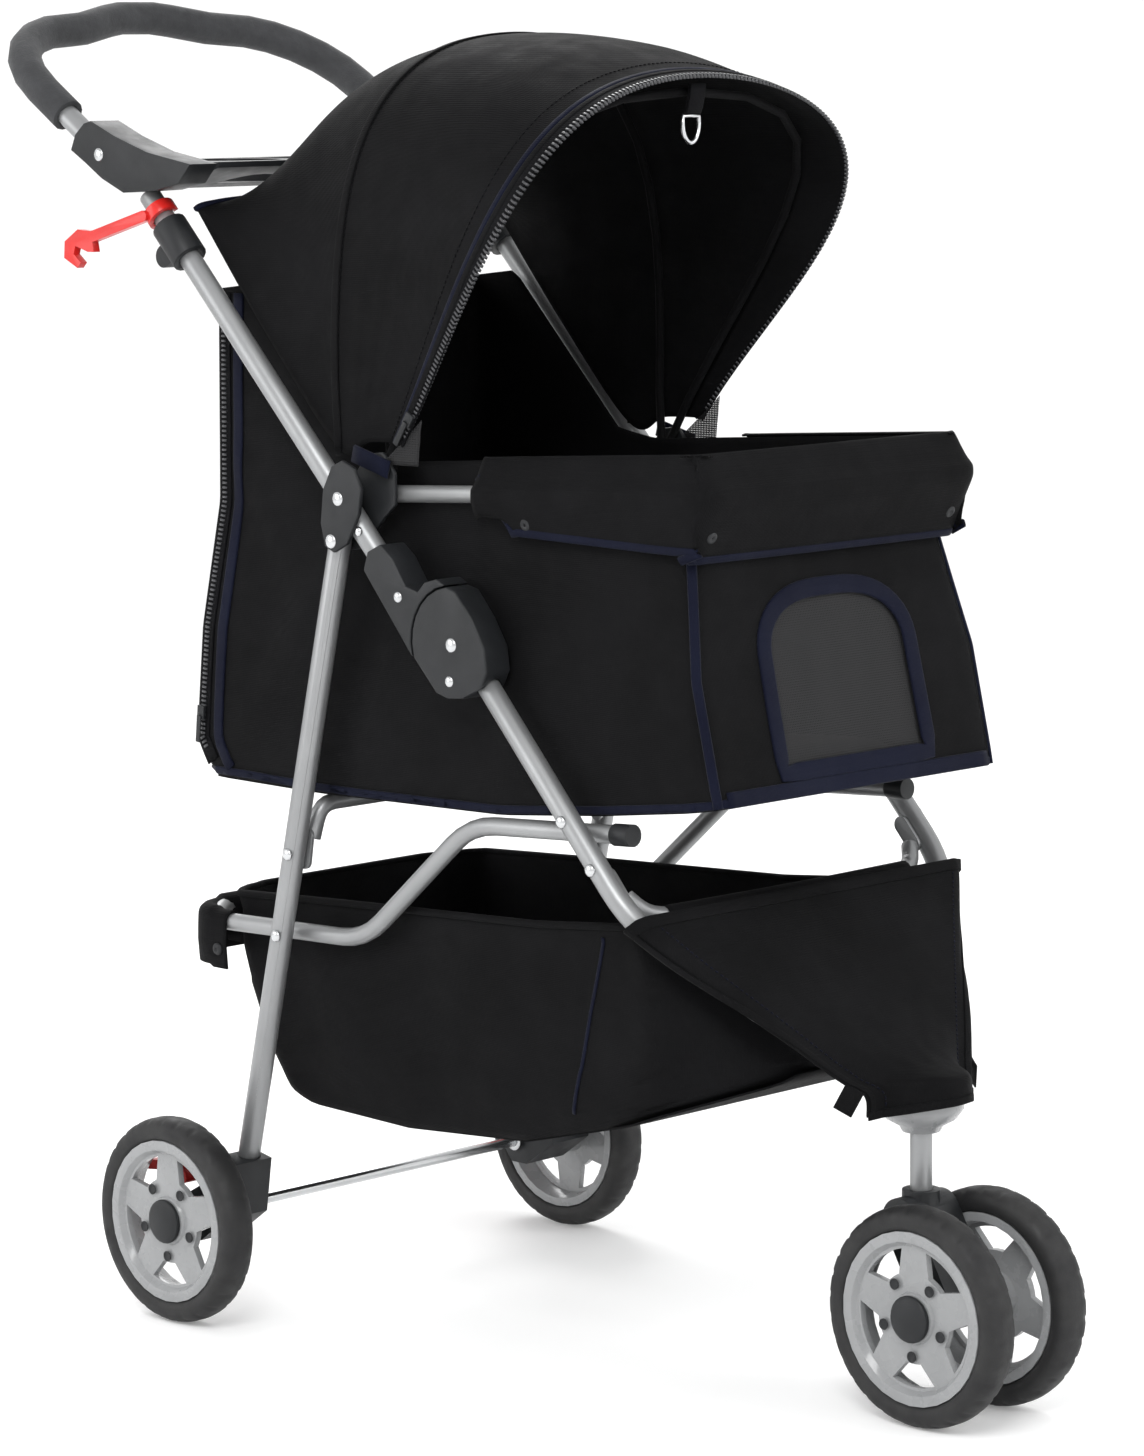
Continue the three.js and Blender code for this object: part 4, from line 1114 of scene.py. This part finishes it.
def build_pad():
    low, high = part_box("seat_pad")
    x0, x1 = in_mm(low).x + 4, in_mm(high).x - 4
    half = high.y / MM - 5

    def top(x, y):
        edge = min(x - x0, x1 - x, half - abs(y))
        return board_line(x) + 9.5 + 9 * smooth(edge, -4, 26)

    verts = []
    faces = []
    columns, rows = 64, 36
    for layer in (0, 1):
        for j in range(rows + 1):
            for i in range(columns + 1):
                x = x0 + (x1 - x0) * i / columns
                y = half * (2 * j / rows - 1)
                verts.append(place(x, y, top(x, y) if layer else board_line(x) + 8.9))
    across = columns + 1
    size = across * (rows + 1)
    for j in range(rows):
        for i in range(columns):
            a = j * across + i
            faces.append((a, a + 1, a + across + 1, a + across))
            faces.append((size + a, size + a + across, size + a + across + 1, size + a + 1))
    ring = [i for i in range(across)] + [j * across + columns for j in range(1, rows + 1)]
    ring += [rows * across + i for i in range(columns - 1, -1, -1)]
    ring += [j * across for j in range(rows - 1, 0, -1)]
    for a, b in zip(ring, ring[1:] + ring[:1]):
        faces.append((a, b, size + b, size + a))
    pad = piece("seat_cushion", verts, faces, "lining", None)
    puff(pad)
    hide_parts("seat_pad")
    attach(pad, "floor")


PUFF_LIMIT = 5.0


def puff(obj):
    """Blows a cushion up a little as cloth, with a limit on how far each point may move."""
    remesh = obj.modifiers.new("remesh", "REMESH")
    remesh.mode = "VOXEL"
    remesh.voxel_size = 0.006
    bake(obj)
    rest = [v.co.copy() for v in obj.data.vertices]
    cloth = obj.modifiers.new("cloth", "CLOTH")
    cloth.settings.use_pressure = True
    cloth.settings.uniform_pressure_force = 4
    cloth.settings.effector_weights.gravity = 0
    cloth.point_cache.frame_start = 1
    cloth.point_cache.frame_end = 20
    for number in range(1, 21):
        bpy.context.scene.frame_set(number)
    bake(obj)
    for vertex, start in zip(obj.data.vertices, rest):
        move = vertex.co - start
        if move.length > PUFF_LIMIT * MM:
            move *= PUFF_LIMIT * MM / move.length
        floor = (board_line(in_mm(start).x) + 8.4) * MM
        vertex.co = start + move
        vertex.co.z = max(vertex.co.z, floor)
    bpy.context.scene.frame_set(1)
    fine = obj.modifiers.new("fine", "SUBSURF")
    fine.levels = fine.render_levels = 1
    bake(obj)
    obj.data.polygons.foreach_set("use_smooth", [True] * len(obj.data.polygons))


# ------------------------------------------------------------------ wheels
def build_tyre(name, body, node):
    """A tyre with pairs of slanted nicks in both shoulders of its tread."""
    low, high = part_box(node)
    centre = in_mm((low + high) / 2)
    profile = [(59.4, 11), (59.4, 0), (59.4, -11), (62, -12.3), (66, -12.9), (70, -12.0), (72.6, -9.6),
               (74.0, -6.8), (74.8, -3.0), (75.0, 0), (74.8, 3.0), (74.0, 6.8), (72.6, 9.6), (70, 12.0),
               (66, 12.9), (62, 12.3)]
    segments = 240
    nicks = 30
    verts = []
    for k in range(segments):
        angle = 2 * math.pi * k / segments
        for radius, across in profile:
            slant = angle * nicks / (2 * math.pi) + abs(across) * 0.03
            cut = max(math.cos(2 * math.pi * slant), 0) ** 6
            depth = 1.5 * cut if 3.5 < abs(across) < 11 and radius > 72 else 0.0
            if abs(across) < 1 and radius > 74:
                depth = 0.5
            r = radius - depth
            verts.append(place(centre.x + r * math.cos(angle), centre.y + across,
                               centre.z + r * math.sin(angle)))
    size = len(profile)
    faces = []
    for k in range(segments):
        for j in range(size):
            a = k * size + j
            b = k * size + (j + 1) % size
            c = ((k + 1) % segments) * size + (j + 1) % size
            d = ((k + 1) % segments) * size + j
            faces.append((a, b, c, d))
    tyre = piece(name, verts, faces, "tyre", body)
    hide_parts(node)
    return tyre


def build_wheels():
    for where in ("front", "rear"):
        for name, side in SIDES:
            body = f"{where}_wheel_{name}"
            build_tyre(f"{where}_{name}_tyre_cover", body, f"{where}_{name}_tyre")
            low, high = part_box(f"{where}_{name}_rim")
            centre = in_mm((low + high) / 2)
            face = centre.y + side * 11.5
            for k in range(5):
                # Painted shade: the rim's five holes are not cut; a shallow black disc sits in each one,
                # standing in for the shade inside the hole.
                angle = math.pi / 2 + 2 * math.pi * (k + 0.5) / 5
                hole = (centre.x + 26 * math.cos(angle), face - side * 2.2, centre.z + 26 * math.sin(angle))
                profile = [(0, 0.05), (3.0, 0.05), (3.4, 0.5), (3.9, 0.5), (3.9, 0.0), (3.4, -0.1)]
                lathe(f"{where}_{name}_rim_hole_{k}", profile[:5], hole, (0, side, 0), "black_plastic", body,
                      14)


# ------------------------------------------------------------------ rivets and small fittings
def build_rivets():
    outer_plate = FRAME_Y + 12
    outer_tube = FRAME_Y + TUBE_RADIUS - 0.2
    outer_housing = FRAME_Y + 11.5
    spots = (
        ("plate_upper", 152.7, 603.9, outer_plate, "push_frame", 5.2),
        ("plate_lower", 145, 574, outer_plate, "push_frame", 5.2),
        ("push_tube", 168.5, 582, outer_tube, "push_frame", 3.6),
        ("lock", 212, 540, outer_housing, None, 4.0),
        ("knee_middle", 264, 511, outer_housing, "front_legs", 5.2),
        ("knee_low", 262, 486, outer_housing, "front_legs", 4.0),
        ("front_link", 364, 400, outer_tube, "front_legs", 4.4),
        ("cross_bar", 391, 370.5, outer_tube, "front_legs", 4.4),
        ("support_bar", 89, 347.5, outer_tube, "rear_legs", 4.4),
        ("rear_link", 75, 287.3, outer_tube, "rear_legs", 4.4),
        ("tray_bolt", -96.4, 838, FRAME_Y + 13, "push_frame", 5.0),
    )
    for label, x, z, reach, body, radius in spots:
        for name, side in SIDES:
            rivet(f"rivet_{label}_{name}", x, side * reach, z, body or f"lock_{name}", radius)


def build_axle_clips():
    """A steel ring that holds each end of the rear axle in its housing."""
    profile = [(4.1, -1.5), (6.8, -1.5), (7.2, -0.6), (7.2, 0.6), (6.8, 1.5), (4.1, 1.5), (4.1, -1.5)]
    for name, side in SIDES:
        lathe("axle_clip_" + name, profile, (0, side * 142, 75), (0, side, 0), "bright_steel", "rear_legs",
              24)


# ------------------------------------------------------------------ all of the object
build_cabin()
build_cabin_trim()
build_flap()
build_canopy()
build_foot_trim()
build_strap()
build_basket()
build_apron()
build_pad()
build_wheels()
build_rivets()
build_axle_clips()


# ------------------------------------------------------------------ floor, light and camera
def build_stage():
    """A wide pale floor that curves up far away on every side."""
    flat, bend, height = 6.5, 2.5, 6.0
    profile = [(0.0, 0.0), (1.0, 0.0), (3.0, 0.0), (flat, 0.0)]
    for k in range(1, 13):
        angle = math.radians(90 * k / 12)
        profile.append((flat + bend * math.sin(angle), bend * (1 - math.cos(angle))))
    profile.append((flat + bend, height))
    segments = 96
    verts = [(0.0, 0.0, 0.0)]
    faces = []
    for radius, z in profile[1:]:
        for k in range(segments):
            angle = 2 * math.pi * k / segments
            verts.append((radius * math.cos(angle), radius * math.sin(angle), z))
    for k in range(segments):
        n = (k + 1) % segments
        faces.append((0, 1 + k, 1 + n))
        for ring in range(len(profile) - 2):
            a = 1 + ring * segments
            faces.append((a + k, a + segments + k, a + segments + n, a + n))
    data = bpy.data.meshes.new("studio_floor")
    data.from_pydata(verts, [], faces)
    data.polygons.foreach_set("use_smooth", [True] * len(data.polygons))
    look = Look("studio", (0.90, 0.90, 0.90), 0.9)
    look.vary_colour(look.spread(look.noise(1.5, 2), 0, 1), (0.89, 0.89, 0.89))
    look.relief(look.noise(30), 1.0)
    look.set("Emission Color", (1, 1, 1, 1))
    look.set("Emission Strength", 0.16)
    data.materials.append(look.finish(0.0001))
    obj = bpy.data.objects.new("studio_floor", data)
    bpy.context.scene.collection.objects.link(obj)


def area_light(name, where, aim, size, power):
    data = bpy.data.lights.new(name, "AREA")
    data.shape = "DISK"
    data.size = size
    data.energy = power
    obj = bpy.data.objects.new(name, data)
    obj.location = where
    obj.rotation_euler = (Vector(aim) - Vector(where)).to_track_quat("-Z", "Y").to_euler()
    bpy.context.scene.collection.objects.link(obj)


def build_lights():
    area_light("key", (1.6, -2.2, 2.6), (0, 0, 0.5), 1.6, 58)
    area_light("fill", (2.6, 1.2, 1.5), (0, 0, 0.5), 2.0, 24)
    area_light("rim", (-2.0, 1.4, 2.4), (0, 0, 0.5), 1.6, 34)
    area_light("side", (-1.6, -2.4, 1.2), (0, 0, 0.4), 1.8, 20)
    world = bpy.data.worlds.new("studio")
    world.use_nodes = True
    background = world.node_tree.nodes["Background"]
    background.inputs["Color"].default_value = (1.0, 1.0, 1.0, 1)
    background.inputs["Strength"].default_value = 0.85
    bpy.context.scene.world = world


def build_camera():
    azimuth, elevation, roll = (math.radians(a) for a in (45.107, 7.838, -0.526))
    back = Vector((math.sin(azimuth) * math.cos(elevation), -math.cos(azimuth) * math.cos(elevation),
                   math.sin(elevation)))
    level = Vector((math.cos(azimuth), math.sin(azimuth), 0))
    upright = back.cross(level)
    right = level * math.cos(roll) + upright * math.sin(roll)
    up = back.cross(right)
    data = bpy.data.cameras.new("camera")
    data.sensor_width = 36
    data.lens = 118.8
    data.shift_y = -12 / 1456
    data.clip_end = 60
    obj = bpy.data.objects.new("camera", data)
    bpy.context.scene.collection.objects.link(obj)
    turn = Matrix((right, up, back)).transposed().to_4x4()
    obj.matrix_world = Matrix.Translation(place(2607.3, -2388.3, 906.2)) @ turn
    bpy.context.scene.camera = obj


build_stage()
build_lights()
build_camera()

bpy.context.scene.view_settings.view_transform = "Standard"
bpy.context.view_layer.update()
